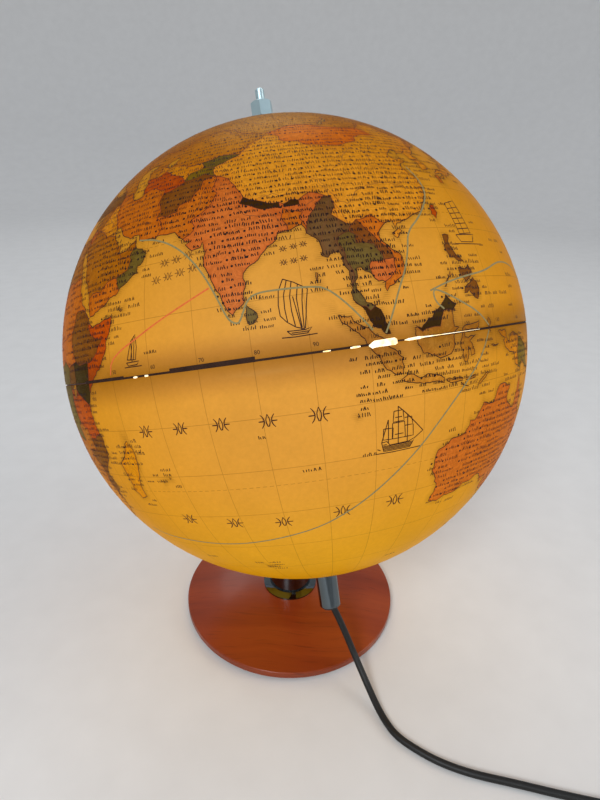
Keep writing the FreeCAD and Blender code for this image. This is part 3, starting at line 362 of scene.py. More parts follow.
BORDERS = """25 32.4 25 22|25 22 37.6 22|11.4 33.6 9.5 30 10 24.5 15 23 25 20|25 22 25 20 24 20 22.5 14 23 9 27 9.5 33
 10.5|43.4 12.4 40.9 14.2 39 14.6 36.4 14.3 36 12.7 34.3 10.6 34 8.5 35.9 4.6 38 3.6 41.9 3.9 45 5 48 8 47 8 44 9 42.8
 10.9 43.6 11.6|41.9 3.9 41 -1.7 41.8 -2.4|34 -1 37.7 -3.5 39.9 -5|34 -1 34.5 1 34 4.2 35.9 4.6|34.6 -11.6 37 -11.7 41
 -10.6|34 4.2 30.8 3.5 29.7 0.5 30 -1 29.5 -4.5 30.7 -8.3 33 -9.5 34 -9.5 34.6 -11.6|30 -1 34 -1|30.8 3.5 27.4 5.1 23 9
|34.6 -11.6 34.5 -14.5 33 -14 30.3 -15 31 -17 33 -19 32.5 -21 31.3 -22.4 32 -24.5 32 -26.8 33.2 -26.9|34.9 29.4 37.5
 30.5 37 31.5 39.2 32.1 42 31 44.7 29.2 46.5 29.1 48.7 28.5|48.6 29.6 47.7 31 45.5 34 45 36 44.5 37.2 42.4 37.2 36.6
 36.8 35.7 35.9|44.5 37.2 44.6 39.6 43.5 41.2 41.2 41.6|44.6 39.6 48 39.5 49.4 38.3|42.4 37.2 41 34.4 39.2 32.1 36.5
 32.4 35.6 33.2 35 33.1|34.9 29.3 35.4 31.2 35.6 33.2|34.2 31.4 34.9 29.4|42.3 16.4 44 17.3 47 17 49 18.6 52 19 53.3
 16.3|52 19 55 20 55.7 22 55.2 22.7 56 24 56.7 24.8|55.2 22.7 52.6 22.9 51.4 24.4|53.4 37.3 55.5 38 57.3 38.2 59.5 37
 61.2 36.6 61.2 35.6 60.6 33.5 61.8 31 61 29.8 63 27.2 61.6 24.8|61 29.8 66.3 29.9 66.5 31.3 69.3 32 70 33.5 71.2 34.5
 71.6 36.4 74.6 37|61.2 35.6 64.5 36.3 66.5 37.4 70 37.6 71.5 38.3 73.3 37.4 74.6 37|52.3 41.8 56 41.3 58.5 42.7 61
 41.2 66.5 37.4|48.8 46.4 47 48 47 50 51.5 51.5 55 51 61 51 62 54 70 55 77 54 80 51 87.8 49.2|56 41.3 56 45 61.5 43.5
 66 42 70 42 75 43 80.2 42.2|70 42 71 40.2 67.5 39.5 66.5 37.4|71 40.2 73.8 39.6|68 23.4 70 24.3 70.8 25.7 69.6 27 72
 28.2 74.5 30.9 75.3 32.3 74 33.5 74.6 35 74.6 37 77.8 35.5 79.5 32.6 81 30.2 84 28.8 86 27.9 88.1 27.9 88.9 27.3 90.5
 28.1 92 27.8 94.5 29.3 97.3 28.2|88.1 27.9 88.1 26.5 84.5 26.8 80.2 28.8 81 30.2|88.9 27.3 89 26.7 92 26.8 92 27.8|89
 21.5 88.9 23 88.1 24.5 88.6 26.3 89.8 25.8 92.3 25.1 91.5 23.9 92.5 22 92.1 20.5|92.5 22 93.3 24 94.7 25.5 96.5 27.5
 97.3 28.2 98.6 27.5 98.7 25.5 97.6 24 99.3 22.5 101.1 21.6 102.2 22.5 105.3 23.3 106.7 22 108.3 21.3|101.1 21.6 100.1
 20.3 98 19.5 97.5 18.3 98.5 16 98.4 15 99.3 13 99.5 11.8 98.4 9.9|100.1 20.3 101.3 19.5 101 17.9 102.5 18 104.5 17.5
 105.5 15.5 105.6 14.4 103 14.3 102.4 13.4 102.7 11.7|102.2 22.5 103.5 20.5 104.5 19.4 106.5 16.9 107.5 15.5 107.6 14.6
 105.6 14.4|107.6 14.6 107.5 12.4 106 11 104.2 10.2|98.6 7.4 100.5 6.5 101.1 5.7 101.6 6 103 7.4|124.2 39.9 126.5 41.5
 128.2 42 130.9 42.2|126 37.8 128.9 38.6|87.8 49.2 92 50.7 98.5 52 102.3 51.3 107 49.9 116.7 49.8 119.8 46.7 116 46.4
 112 45 111.8 43.7 105 41.7 97 42.7 95.4 44.3 91 45.2 90.8 47 87.8 49.2|116.7 49.8 119.8 52 120.9 53.3 126 53 127.6
 49.8 130.8 48.9 134.7 48.3 133.1 45 131.2 44.8 130.6 42.2|87.8 49.2 85.7 47 82.5 45.3 80.2 42.2 76 40.4 73.8 39.6 73.7
 38.5 74.6 37|109.3 2.2 110.5 1 112.2 1.5 114.5 1.5 115 3 115.8 4.3 118 4.1 118.8 4.0|141 -2.3 141 -9.4|19.6 54.4 23.5
 54 23.5 50.5 22.5 49 22 48 28.2 45.4 29.9 45.2|28 60.7 31 62.7 29.8 65 28.5 69 31 70|11.2 58.9 12.3 61 12 63.5 14.5 66
 18 68.5 20.5 69 25.8 69.6 28.5 69|24 65.6 23.5 67.9 20.5 69|14.2 54.1 15 51 12.5 50.3 13 48.5 10 47.5 7.6 47.6 8 49 6
 50 7 53.6|-1.8 43.6 3.4 42.4|7.5 43.6 7 46 10 46.5 13.6 46.6 13.7 45.4|15 51 18.8 49.5 22.5 49|13 48.5 17 48.2 16.3
 46.9 20.3 46 22.8 48|20 39.6 21 41 26.3 41.7 26.1 40.5|13.7 45.6 16.3 46.5 20.3 46 22.5 44.5 22.5 42.3 21 41|22.5 44.2
 28.8 43.7|7.6 47.6 7 46|-2 35.4 -1.2 32 -8.7 28.7 -8.7 27.3 -4.8 25 3.3 19 4.2 19.2 10 24.5|9.5 30 8.2 33 8.6 37.4
|-13.3 27.8 -8.7 27.6|-17.3 21.3 -13 21.3 -13 23 -12 26 -8.7 26 -8.7 27.3|-4.8 25 -6.5 25 -5.5 15.5 -12 14.8 -16.8 16.2
|4.2 19.2 4 16.5 0 15 3.5 11.7 13.5 13.7 15.5 17 15 23|3.5 11.7 2.7 6|13.5 13.7 14.2 11 10.5 7 8.5 4.3|14.2 11 15.5 7.5
 19 9 22.9 11|15.5 7.5 14.5 6 16 3.5 18.5 4.3 27.4 5.1|9.5 2.3 16 2.2 16 3.5|18.5 4.3 17.7 -0.5 15.5 -4 12.2 -5.9|16
 2.2 14 -1 11 -4.1|12 -6.1 16.5 -6 17.5 -8 21.8 -7.5 22 -11 24 -11 24 -13 22 -13 22 -16.5 23.5 -17.6 21 -18 11.5 -17.3
|24 -11 28.5 -12.5 29.5 -12.2 28.5 -9 30.7 -8.3|23.5 -17.6 27 -17.7 30.3 -15.5|16.2 -28.6 20 -28.5 20 -22 21 -22 21 -18
|20 -26 25.5 -25.7 27 -23.8 29.4 -22.2 31.3 -22.4|25.3 -17.8 29.4 -22.2|0 15 -5.5 15.5|-2.8 5 -2.8 11 0 11 0 15|-2.8 11
 -5.5 12 -8 10.5 -11.5 12 -12 14.8|-7.5 4.2 -8.3 7.6 -8 10.5|-123.3 49 -95 49 -89 48 -83 46 -79 43.3 -75 45 -71 45 -67
 45 -67 44.6|-141 69.9 -141 60 -135 59.5 -130 55 -130.6 54.6|-117.3 32.5 -111 31.4 -106.5 31.8 -103 29 -99.5 27.5 -96.9
 25.9|-92.4 14.3 -91 16 -91 18 -88 18|-51.4 4.5 -56 2.2 -60 5 -64 2.2 -67 1.5 -69.5 1 -69.9 -4.3 -73 -7.5 -70.5 -9.5
 -69.5 -11 -65.3 -10 -60.2 -14 -58.2 -20 -57.8 -22 -54.4 -24 -54 -25.6 -53.7 -27.2 -57.6 -30.2 -53.3 -33.8|-69.5 -11
 -68.8 -15.5 -69.5 -17.6 -71 -18.4|-69.5 -17.6 -67.2 -22.8 -62.7 -22 -58.2 -20|-67.2 -22.8 -70 -30 -70 -34 -71.5 -40
 -72 -50 -69 -52.3 -68 -52.5|-62.7 -22 -57.7 -25.3 -58.5 -27.3 -54.6 -25.6|-80.6 -3.4 -78.5 -4.8 -75.2 -0.2 -69.9 -4.3
|-79.2 1.6 -75.2 -0.2|-71.4 12.6 -72.5 8 -67.5 6 -67 1.5|-59.8 8.7 -60.7 5|-57 6.2 -58 2|-57.6 -30.2 -58.5 -34"""
# one point in each coloured area, with its colour; the sea and anything not named is parchment
SEAS = "80 -40 -35 30 -35 -30 -150 10 50.5 38.5 34 43.4 60 45 107 53.2 33 -1 30 -7 19 56.5 17 36 130 20 60 -66"
TINTS = {
    "brick": (206, 119, 61), "rose": (213, 121, 102), "sand": (178, 114, 43), "teal": (114, 101, 98),
    "moss": (133, 115, 60), "plum": (136, 85, 70), "slate": (65, 43, 37), "amber": (231, 163, 90),
    "rust": (196, 87, 28), "olive": (198, 129, 46), "umber": (133, 66, 49), "gold": (227, 160, 53),
    "flame": (225, 120, 33), "smoke": (117, 89, 100), "pale": (206, 150, 98),
}
AREAS = """rose 78 22|brick 90 24|rose 94.5 27|brick 67 28|brick 55 33|plum 65 34|sand 45 24|teal 57 21|brick 47 15.5
|gold 43 33|flame 54 23.2|sand 38 35|brick 36.5 31|rust 35 31.2|plum 35 39|plum 39 8|rust 46 5|slate 38 1|rust 35 -6
|plum 36.5 -15|gold 47 -20|teal 80.7 7.6|slate 84 28.1|slate 90.5 27.4|amber 104 34|flame 103 46.5|olive 68 48|sand 95
 60|rust 59 39.5|gold 64 41.5|moss 68.5 38.5|teal 74 41.5|smoke 96 21|teal 101 15.5|plum 103 19.5|brick 105 21.5|rose
 105 12.5|teal 99.2 8|slate 102 4|slate 113.5 2.7|pale 102 -1|pale 114 -1|pale 110 -7.4|pale 120 -2.4|amber 137 -4|moss
 144 -6|rose 133 -25|plum 121 17|plum 125 7.5|plum 118.5 10|plum 123.8 10.8|rust 121 23.7|amber 110 19.2|gold 138 36
|brick 143 43|brick 131 32.4|flame 127.5 40.3|amber 128 36|brick 31 15|sand 30 27|moss 18 27|teal 25 -2|plum 32.5 2
|brick 19 15|olive 30 -19|gold 25 -30|plum 27 -15|brick 18 -12|amber 18 -20|rose 24 -22|teal 5 28|brick -5 32|gold 8 18
|moss 8 9|rust 13 5|rose 20 7|amber 14 0|plum -2 20|brick -10 18|teal -14 25|amber -10 8|moss 1 9|rust -6 7|plum -5 13
|plum 19 52|olive 31 51|rose 26 63|brick 16 63|moss 9 61|moss 10 50.5|brick 17 49.3|rose 2 47|brick -4 40|teal 12 42.5
|gold 19 47|plum 19 44|rust 25 46|teal 25 42.8|brick 22 39.5|rose -2 53|teal -8 53|gold -18 65|rose -100 40|brick -105
 57|rose -153 65|teal -102 23|plum -55 -10|brick -65 -35|teal -76 -9|gold -65 -17|rose -74 4|moss -66 7|brick -78 -1
|gold -71 -32|teal -58.5 -23.5|brick -56 -33|moss -59 5|gold -88 14|brick -79 22|plum -40 70|rose -112 71|rose -70 68
|rose -80 80|brick 172 -43|brick 176 -38.8|gold 143 51|teal 147 -42|sand 57 73|sand 190 65.5
|plum 150 -5.6|teal 117.6 5"""

# ------------------------------------------------------------------ globe skin
SPIN = next(j for j in RECORD["behaviour"]["joints"] if j["name"] == "globe_spin")
HUB = Vector(SPIN["pos_m"])
NORTH = Vector(SPIN["axis"]).normalized()
EAST = Vector((1, 0, 0))
DEEP = NORTH.cross(EAST)
BALL = 0.150
PRIME = 160.6            # degrees from +X round to the map's zero meridian
GAP_LAT = 0.153
CAP_LAT = 84.64
WEST, SPAN = -169.0, 360.0


def on_ball(lon, lat, r=BALL):
    a, b = math.radians(lon + PRIME), math.radians(lat)
    return HUB + r * (math.cos(b) * (math.cos(a) * EAST + math.sin(a) * DEEP) + math.sin(b) * NORTH)


def pairs(text):
    n = [float(v) for v in text.split()]
    return list(zip(n[::2], n[1::2]))


def rugged(line, closed, amount, step):
    """Splits a map line finely and roughens it, the same way every run."""
    out = []

    def split(a, b, depth):
        dx = (b[0] - a[0]) * math.cos(math.radians((a[1] + b[1]) / 2))
        dy = b[1] - a[1]
        size = math.hypot(dx, dy)
        if size < step or depth > 6:
            out.append(b)
            return
        m = ((a[0] + b[0]) / 2, (a[1] + b[1]) / 2)
        w = noise.noise(Vector((m[0] * 3.1, m[1] * 3.7, 5.0))) * 2.4
        w = max(-1.0, min(1.0, w)) * amount
        c = max(math.cos(math.radians(m[1])), 0.15)
        m = (m[0] - dy * w / c, m[1] + dx * w)
        split(a, m, depth + 1)
        split(m, b, depth + 1)

    pts = list(line) + ([line[0]] if closed else [])
    out.append(pts[0])
    for a, b in zip(pts, pts[1:]):
        split(a, b, 0)
    return out[:-1] if closed else out


coasts = [rugged(pairs(text), True, 0.16, 1.1) for text in COASTS.values()]
shelf = rugged(pairs(SOUTH_LAND), False, 0.14, 2.0)
borders = [rugged(pairs(text), False, 0.10, 1.4) for text in BORDERS.split("|")]

# the flat map is cut into triangles along every coast, border and edge of the ball's halves
EDGE, COAST, BORDER = range(3)
flat, edges, kinds = [], [], []


def add_line(line, closed, kind):
    base = len(flat)
    flat.extend(Vector(p) for p in line)
    n = len(line)
    for i in range(n if closed else n - 1):
        edges.append((base + i, base + (i + 1) % n))
        kinds.append(kind)


rows = [-CAP_LAT] + [-81 + 3 * k for k in range(27)] + [-GAP_LAT, GAP_LAT]
rows += [3 + 3 * k for k in range(27)] + [CAP_LAT]
for lat in rows:
    step = 2.0 if abs(lat) < 1 else 3.0 if abs(lat) < 70 else 6.0
    n = round(SPAN / step)
    line = [(WEST + SPAN * k / n, lat) for k in range(n + 1)]
    if abs(lat) in (CAP_LAT, GAP_LAT):
        add_line(line, False, EDGE)
    else:
        flat.extend(Vector(p) for p in line)
for x in (WEST, WEST + SPAN):
    add_line([(x, lat) for lat in rows], False, EDGE)
for line in coasts:
    add_line(line, True, COAST)
add_line(shelf, False, COAST)
for line in borders:
    add_line(line, False, BORDER)
# rows of points on both sides of a shore keep the printed shading beside it narrow
for line in coasts + [shelf]:
    for a, b in zip(line, line[1:]):
        a, b = Vector(a), Vector(b)
        c = squeeze(a.y, 0.12)
        d = Vector(((b.x - a.x) * c, b.y - a.y))
        if d.length < 0.2:
            continue
        side = Vector((-d.y / c, d.x)) / d.length
        for s in (-0.5, 0.5, -1.5, 1.5):
            q = (a + b) / 2 + side * s
            if WEST + 0.5 < q.x < WEST + SPAN - 0.5 and GAP_LAT + 0.4 < abs(q.y) < 84:
                flat.append(q)

pts, out_edges, tris, _, edge_from, _ = geometry.delaunay_2d_cdt(flat, edges, [], 0, 1e-4, True)


def key(a, b):
    return min(a, b), max(a, b)


def sides(tri):
    return [key(tri[k], tri[(k + 1) % 3]) for k in range(3)]


def bucket(x):
    """Number of a square of five degrees."""
    return math.floor(x / 5)


walls = {key(*e) for e, source in zip(out_edges, edge_from) if any(kinds[s] for s in source if s < len(kinds))}
beside, buckets = {}, {}
for i, tri in enumerate(tris):
    for e in sides(tri):
        beside.setdefault(e, []).append(i)
    xs = [pts[v].x for v in tri]
    ys = [pts[v].y for v in tri]
    for gx in range(bucket(min(xs)), bucket(max(xs)) + 1):
        for gy in range(bucket(min(ys)), bucket(max(ys)) + 1):
            buckets.setdefault((gx, gy), []).append(i)


def find(lon, lat):
    """The triangle at a place, or None."""
    for i in buckets.get((bucket(lon), bucket(lat)), []):
        if geometry.intersect_point_tri_2d(Vector((lon, lat)), *(pts[v] for v in tris[i])):
            return i


label = [None] * len(tris)


def flood(start, name):
    """Names every triangle that can be reached without crossing a coast or border."""
    if start is None or label[start] is not None:
        return
    label[start] = name
    todo = [start]
    while todo:
        for e in sides(tris[todo.pop()]):
            if e in walls:
                continue
            for j in beside[e]:
                if label[j] is None:
                    label[j] = name
                    todo.append(j)


for lon, lat in pairs(SEAS):
    flood(find(lon, lat), "sea")
for area_line in AREAS.split("|"):
    name, lon, lat = area_line.split()
    flood(find(float(lon), float(lat)), name)
line_points = [p for line in coasts + [shelf] + borders for p in line]
marks = kdtree.KDTree(len(line_points))
for i, p in enumerate(line_points):
    marks.insert(on_ball(*p, 1.0) - HUB, i)
marks.balance()


def from_line(lon, lat):
    """Degrees to the nearest coast or border."""
    return math.degrees(marks.find(on_ball(lon, lat, 1.0) - HUB)[2])


near = [max(0.0, 1.0 - from_line(p.x, p.y) / 1.5) for p in pts]


def ink(name, colour, shine):
    m, t, p = material(name, Roughness=0.6, Specular_IOR_Level=0.15, Emission_Strength=shine)
    worn = mottle(t, place(t), 700.0, 2.0)
    c = mix(t, worn, rgba(*colour), rgba(*(min(255, x * 1.35 + 8) for x in colour)))
    wire(t, p, Base_Color=mix(t, 1.0, c, (0.35, 0.35, 0.35, 1), "MULTIPLY"), Emission_Color=c)
    return m


def map_skin():
    m, t, p = material("lit_map_skin", Roughness=0.46, Specular_IOR_Level=0.12, Coat_Weight=1.0,
                       Coat_Roughness=0.35, Coat_IOR=1.05, Coat_Tint=(0.86, 0.78, 0.26, 1.0))

    def fade(value, start, end, first=0.0, last=1.0):
        return node(t, "MapRange", s_interpolation_type="SMOOTHSTEP",
                    i0=value, i1=start, i2=end, i3=first, i4=last).outputs[0]

    def attribute(name, output):
        return node(t, "Attribute", s_attribute_name=name).outputs[output]

    c, sea, edge = attribute("tint", "Color"), attribute("tint", "Alpha"), attribute("edge", "Fac")
    lon, lat, _ = node(t, "SeparateXYZ", i0=attribute("lonlat", "Vector")).outputs
    # old paper: soft blotches and fine fibres
    blot = mottle(t, place(t), 26.0, 5.0, Roughness=0.6)
    fibre = mottle(t, place(t, turn=(0.5, 0.2, 0.9)), 420.0, 5.0, Roughness=0.7)
    tone = times(t, spread(t, blot, 0.34, 0.83), spread(t, fibre, 0.30, 0.85))
    # land: a deeper rim along coasts and borders, printer's relief in the middle
    rim = times(t, calc(t, "POWER", edge, 1.6), 0.55)
    relief = mottle(t, place(t, turn=(0.3, 0.8, 0.1)), 130.0, 6.0, Roughness=0.72, Distortion=1.2)
    ridge = ramp(t, relief, [(0.42, (1, 1, 1)), (0.50, (0.70, 0.66, 0.60)), (0.56, (1, 1, 1))])
    land_col = mix(t, rim, c, mix(t, 1.0, c, (0.80, 0.55, 0.42, 1), "MULTIPLY"))
    land_col = mix(t, 0.75, land_col, ridge, "MULTIPLY")
    # sea: short engraved lines lie along the coast
    hatch = spread(t, calc(t, "SINE", times(t, lat, 18.0)), 0.5, 0.5)
    shore = times(t, calc(t, "POWER", edge, 1.3), spread(t, hatch, 0.5, 0.28))
    col = mix(t, sea, land_col, mix(t, shore, c, (0.33, 0.16, 0.055, 1)))
    # graticule every ten degrees and the dashed tropics
    every, half_line = 10.0, 0.085

    def rule(value, scale):
        w = calc(t, "DIVIDE", times(t, calc(t, "PINGPONG", value, every / 2), scale), half_line)
        return calc(t, "SUBTRACT", 1.0, calc(t, "SMOOTH_MIN", w, 1.0, 0.1), clamp=True)

    away = calc(t, "ABSOLUTE", lat)
    narrow = calc(t, "COSINE", times(t, lat, math.pi / 180))
    grid = calc(t, "MAXIMUM", rule(lon, narrow), rule(lat, 1.0))
    tropic = calc(t, "ABSOLUTE", calc(t, "SUBTRACT", away, 23.45))
    tropic = calc(t, "SUBTRACT", 1.0, calc(t, "DIVIDE", tropic, 0.10), clamp=True)
    dash = calc(t, "GREATER_THAN", calc(t, "PINGPONG", lon, 0.7), 0.28)
    grid = calc(t, "MAXIMUM", grid, times(t, tropic, dash))
    col = mix(t, times(t, grid, spread(t, sea, 0.22, 0.30)), col, (0.10, 0.045, 0.018, 1))
    # lamplight: dim over the joint ring and the pole caps, brightest south of the middle
    band = fade(away, 0.6, 6.4, 0.52, 1.0)
    upper = times(t, fade(away, 70.0, 84.0, 1.0, 0.6), fade(lat, -10.0, 75.0, 1.0, 0.62))
    level = times(t, times(t, band, upper), tone)
    warm = mix(t, fade(lat, -18.0, -62.0), (1, 1, 1, 1), (1.14, 1.34, 0.9, 1))
    col = mix(t, 1.0, col, warm, "MULTIPLY")
    lit = mix(t, 1.0, col, mix(t, band, (1.0, 0.84, 1.25, 1), (1, 1, 1, 1)), "MULTIPLY")
    glow = node(t, "VectorMath", s_operation="SCALE", i0=lit, Scale=level).outputs[0]
    wire(t, p, Emission_Color=glow, Emission_Strength=0.95,
         Base_Color=mix(t, 1.0, col, (0.26, 0.22, 0.20, 1), "MULTIPLY"))
    raised = times(t, times(t, relief, calc(t, "SUBTRACT", 1.0, sea)), 0.8)
    bump(t, p, calc(t, "ADD", fibre, raised), 0.10, 0.0004)
    return m


skin = map_skin()
PARCHMENT = lin(220, 162, 112)
CUT_EDGE = lin(120, 70, 30)
INSIDE = 0.148
for side, name, cad in ((1, "printed_map_north", "northern_hemisphere"),
                        (-1, "printed_map_south", "southern_hemisphere")):
    index, verts, faces, marks_at, colours, at_ll = {}, [], [], [], [], []

    def corner(v):
        p = pts[v]
        x = p.x - SPAN if abs(p.x - WEST - SPAN) < 1e-3 else p.x
        at = (round(x, 3), round(p.y, 3))
        if at not in index:
            index[at] = len(verts)
            verts.append(on_ball(x, p.y))
            marks_at.append(near[v])
        return index[at]

    for tri, kind in zip(tris, label):
        centre = ((pts[tri[0]] + pts[tri[1]] + pts[tri[2]]) / 3).y
        if centre * side < GAP_LAT or abs(centre) > CAP_LAT:
            continue
        f = [corner(v) for v in tri]
        if len(set(f)) < 3:
            continue
        faces.append(f)
        rgb = PARCHMENT if kind == "sea" else lin(*TINTS[kind or "pale"])
        for v in tri:
            colours.extend((*rgb, 1.0 if kind == "sea" else 0.0))
            at_ll.extend((pts[v].x, pts[v].y, 0.0))
    # the inside of the shell and its cut edges
    outer, n = len(faces), len(verts)
    used = dict.fromkeys((f[k], f[(k + 1) % 3]) for f in faces for k in range(3))
    rim = [(a, b) for a, b in used if (b, a) not in used]
    verts += [HUB + (v - HUB) * (INSIDE / BALL) for v in verts]
    marks_at += [0.0] * n
    faces += [[f[2] + n, f[1] + n, f[0] + n] for f in faces]
    faces += [[b, a, a + n, b + n] for a, b in rim]
    colours += [*PARCHMENT, 1.0] * (3 * outer) + [*CUT_EDGE, 1.0] * (4 * len(rim))
    at_ll += [5.0, 45.0, 0.0] * (3 * outer) + [5.0, 5.0, 0.0] * (4 * len(rim))
    piece = new_mesh(name, verts, faces, skin, "globe")
    for layer, kind, domain, field, values in (("tint", "FLOAT_COLOR", "CORNER", "color", colours),
                                               ("lonlat", "FLOAT_VECTOR", "CORNER", "vector", at_ll),
                                               ("edge", "FLOAT", "POINT", "value", marks_at)):
        piece.data.attributes.new(layer, kind, domain).data.foreach_set(field, values)
    piece.data.update()
    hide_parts(cad)


# ------------------------------------------------------------------ printed line work
def along(line, closed, most=1.6):
    """The line with points at most so many degrees apart."""
    line = list(line) + ([line[0]] if closed else [])
    out = [line[0]]
    for a, b in zip(line, line[1:]):
        c = squeeze((a[1] + b[1]) / 2)
        k = max(1, math.ceil(math.hypot((b[0] - a[0]) * c, b[1] - a[1]) / most))
        out += [(a[0] + (b[0] - a[0]) * i / k, a[1] + (b[1] - a[1]) * i / k) for i in range(1, k + 1)]
    return out


def smooth_line(line):
    """One pass of corner cutting, for hand-drawn curves."""
    out = [line[0]]
    for a, b in zip(line, line[1:]):
        out += [(a[0] * (1 - s) + b[0] * s, a[1] * (1 - s) + b[1] * s) for s in (0.25, 0.75)]
    return out + [line[-1]]


class Ribbons:
    """Thin printed strips on the ball, gathered into one mesh."""

    def __init__(self):
        self.verts, self.faces = [], []

    def strip(self, line, width, closed=False, lift=0.00010, taper=False):
        line = along(line, closed)
        if closed:
            line = line[:-1]
        n = len(line)
        p = [on_ball(a, b, BALL + lift) for a, b in line]
        base = len(self.verts)
        for i in range(n):
            ahead = p[(i + 1) % n] if closed or i < n - 1 else p[i]
            back = p[i - 1] if closed or i else p[i]
            side = (p[i] - HUB).cross(ahead - back)
            if side.length < 1e-12:
                side = Vector((1e-6, 0, 0))
            w = width
            if taper:
                w *= 0.35 + 0.65 * math.sin(math.pi * (i + 0.5) / n)
            w *= 1 + 0.18 * noise.noise(p[i] * 900)
            side = side.normalized() * w / 2
            self.verts += [p[i] + side, p[i] - side]
        for i in range(n if closed else n - 1):
            a, b = base + 2 * i, base + 2 * ((i + 1) % n)
            self.faces.append((a, a + 1, b + 1, b))

    def dot(self, lon, lat, r, lift=0.00012, corners=8):
        base = len(self.verts)
        deg = math.degrees(r / BALL)
        for k in range(corners):
            a = math.tau * k / corners
            self.verts.append(on_ball(lon + deg * math.cos(a) / squeeze(lat), lat + deg * math.sin(a), BALL + lift))
        self.faces.append(tuple(range(base, base + corners)))

    def make(self, name, m):
        new_mesh(name, self.verts, self.faces, m, "globe", smooth=False)


def print_lines(name, m, lines, width, **how):
    sheet = Ribbons()
    for line in lines:
        sheet.strip(line, width, **how)
    sheet.make(name, m)


coast_ink = Ribbons()
for line in coasts:
    coast_ink.strip(line, 0.00042, True)
coast_ink.strip(shelf, 0.00042)
coast_ink.make("printed_coastlines", ink("ink_sepia", (58, 30, 14), 0.25))
print_lines("printed_borders", ink("ink_border", (84, 36, 18), 0.35), borders, 0.00034, lift=0.00009)

RIVERS = """31 31.4 31 29 33 26 32.5 23.5 31 21 33.5 18 32.5 15 32 12 31.5 9 31.5 5 32 2|88 31 84 29.4 90 29.3 94 29.5
 95 27.5 90 25.5 89.5 24 90.3 23|79 30 80.5 27 83.5 25.5 87 25 88.5 22.5|77 34 74.5 35.5 71.8 33 70.5 29 68 25.5 67.8
 24.5|92 33.5 97 32.5 99.5 27.5 101.5 26 104 28.5 107 29.8 111 30.5 115 30 118 31.5 121 31.6|96 35 101 34 103.5 36 106
 39 108 40.5 111 40 110.5 35 114 34.8 118 37.5|95 33 98 29 99.5 25 100.5 21.5 102.5 18.5 105 16.5 106 13 105.8 10.5|98
 27 96.5 23 95 20 95.3 17|97.5 28 98.8 24 97.8 20 97.6 17|83 47 78 51 73.5 55 69 58.5 66.5 62.5 67 66.5|88 52 84 56 77
 60.5 69.5 61|92 51.5 92 56 90.5 61 87 66 85 70 82.5 72|107 54 113 59.5 122 60.5 129 62.5 125 67 126.5 72|120 53.3 127
 50 131 48 135 48.5 139 52|40 39 38.5 36.5 41 35 44 33 46 31.2|41 38 43.5 36 45 33 46 31.2|45 52 45.5 49 47.8 46|50 55
 48 53 46 51 44.5 48.7|27 -2 21 2 18 0 16 -3 13 -6|26 -12 29 -16 33 -16 35.8 -18.5|138.5 -35 141.5 -34 146 -36|-60 -3
 -56 -2.5 -51 -0.5|-70 -4 -65 -3 -60 -3|-90 29.5 -91 33 -89.5 37 -91 41 -94 46|2 13 4 10 6.3 5|-4 14 -1 17 2 13"""
print_lines("printed_rivers", ink("ink_river", (104, 62, 34), 0.35),
            [rugged(pairs(text), False, 0.16, 1.2) for text in RIVERS.split("|")],
            0.00024, lift=0.00008, taper=True)

# sailing routes
BLUE_ROUTES = """57.4 25.6 62 24.8 66.5 22.6 70 19.6 73 15.6 75.2 11 76.6 7.4 78.2 6.4 79 7.4 80.2 10.2 82 11.3 86.5
 11.3 91.2 11.1 94 10.6 97.6 7 101 2.4|103.3 1.6 105 4.6 107 8.6 109.5 12.6 111 16 112.2 19.4 116.5 22.4 121.5 27.5
 122.2 31.5 121 35|36 -35.6 41 -37.2 49.6 -38 61.5 -38.8 72.3 -38.2 86.4 -35.6 94.4 -31.9 101 -27.5 108.7 -20.9
 114.1 -15.1 119.5 -10 124.1 -5.7 126.4 -2.4 127.6 -0.4|127.8 0.5 125 3.2 120.4 5.6 116 7.8 114.2 8.2 114.2 6 116
 4.5|113.6 8 118 9.3 124 10.3 130 11 137 13 143 13 150 11.4 158 8"""
RED_ROUTE = "49.7 0.9 50.4 3.4 53.6 5.2 57.3 6.6 62.8 9 67.8 11 73.6 13.4"
print_lines("printed_route_blue", ink("ink_route_blue", (126, 114, 74), 0.44),
            [smooth_line(smooth_line(pairs(text))) for text in BLUE_ROUTES.split("|")], 0.00085, lift=0.00014)
print_lines("printed_route_red", ink("ink_route_red", (204, 90, 42), 0.52),
            [smooth_line(pairs(RED_ROUTE))], 0.00075, lift=0.00014)


# plain ticks where the original has place names
def cell(*v):
    """Steady pick from 0 to 1."""
    return abs(noise.cell(Vector(v)))


def tick_row(sheet, lon, lat, count, high, width):
    """A row of plain upright and leaning ticks, standing for a small printed name."""
    c = squeeze(lat, 0.15)
    for k in range(count):
        pick = cell(lon * 3 + k, lat * 9, 7.5)
        h = high * (0.5 + 0.5 * cell(lon * 7 + k, lat * 5, 1.5))
        x = lon + k * high * 0.56 / c
        lean = 0.0 if pick < 0.5 else (0.32 if pick < 0.75 else -0.32) * h / c
        sheet.strip([(x, lat), (x + lean, lat + h)], width, lift=0.00011)


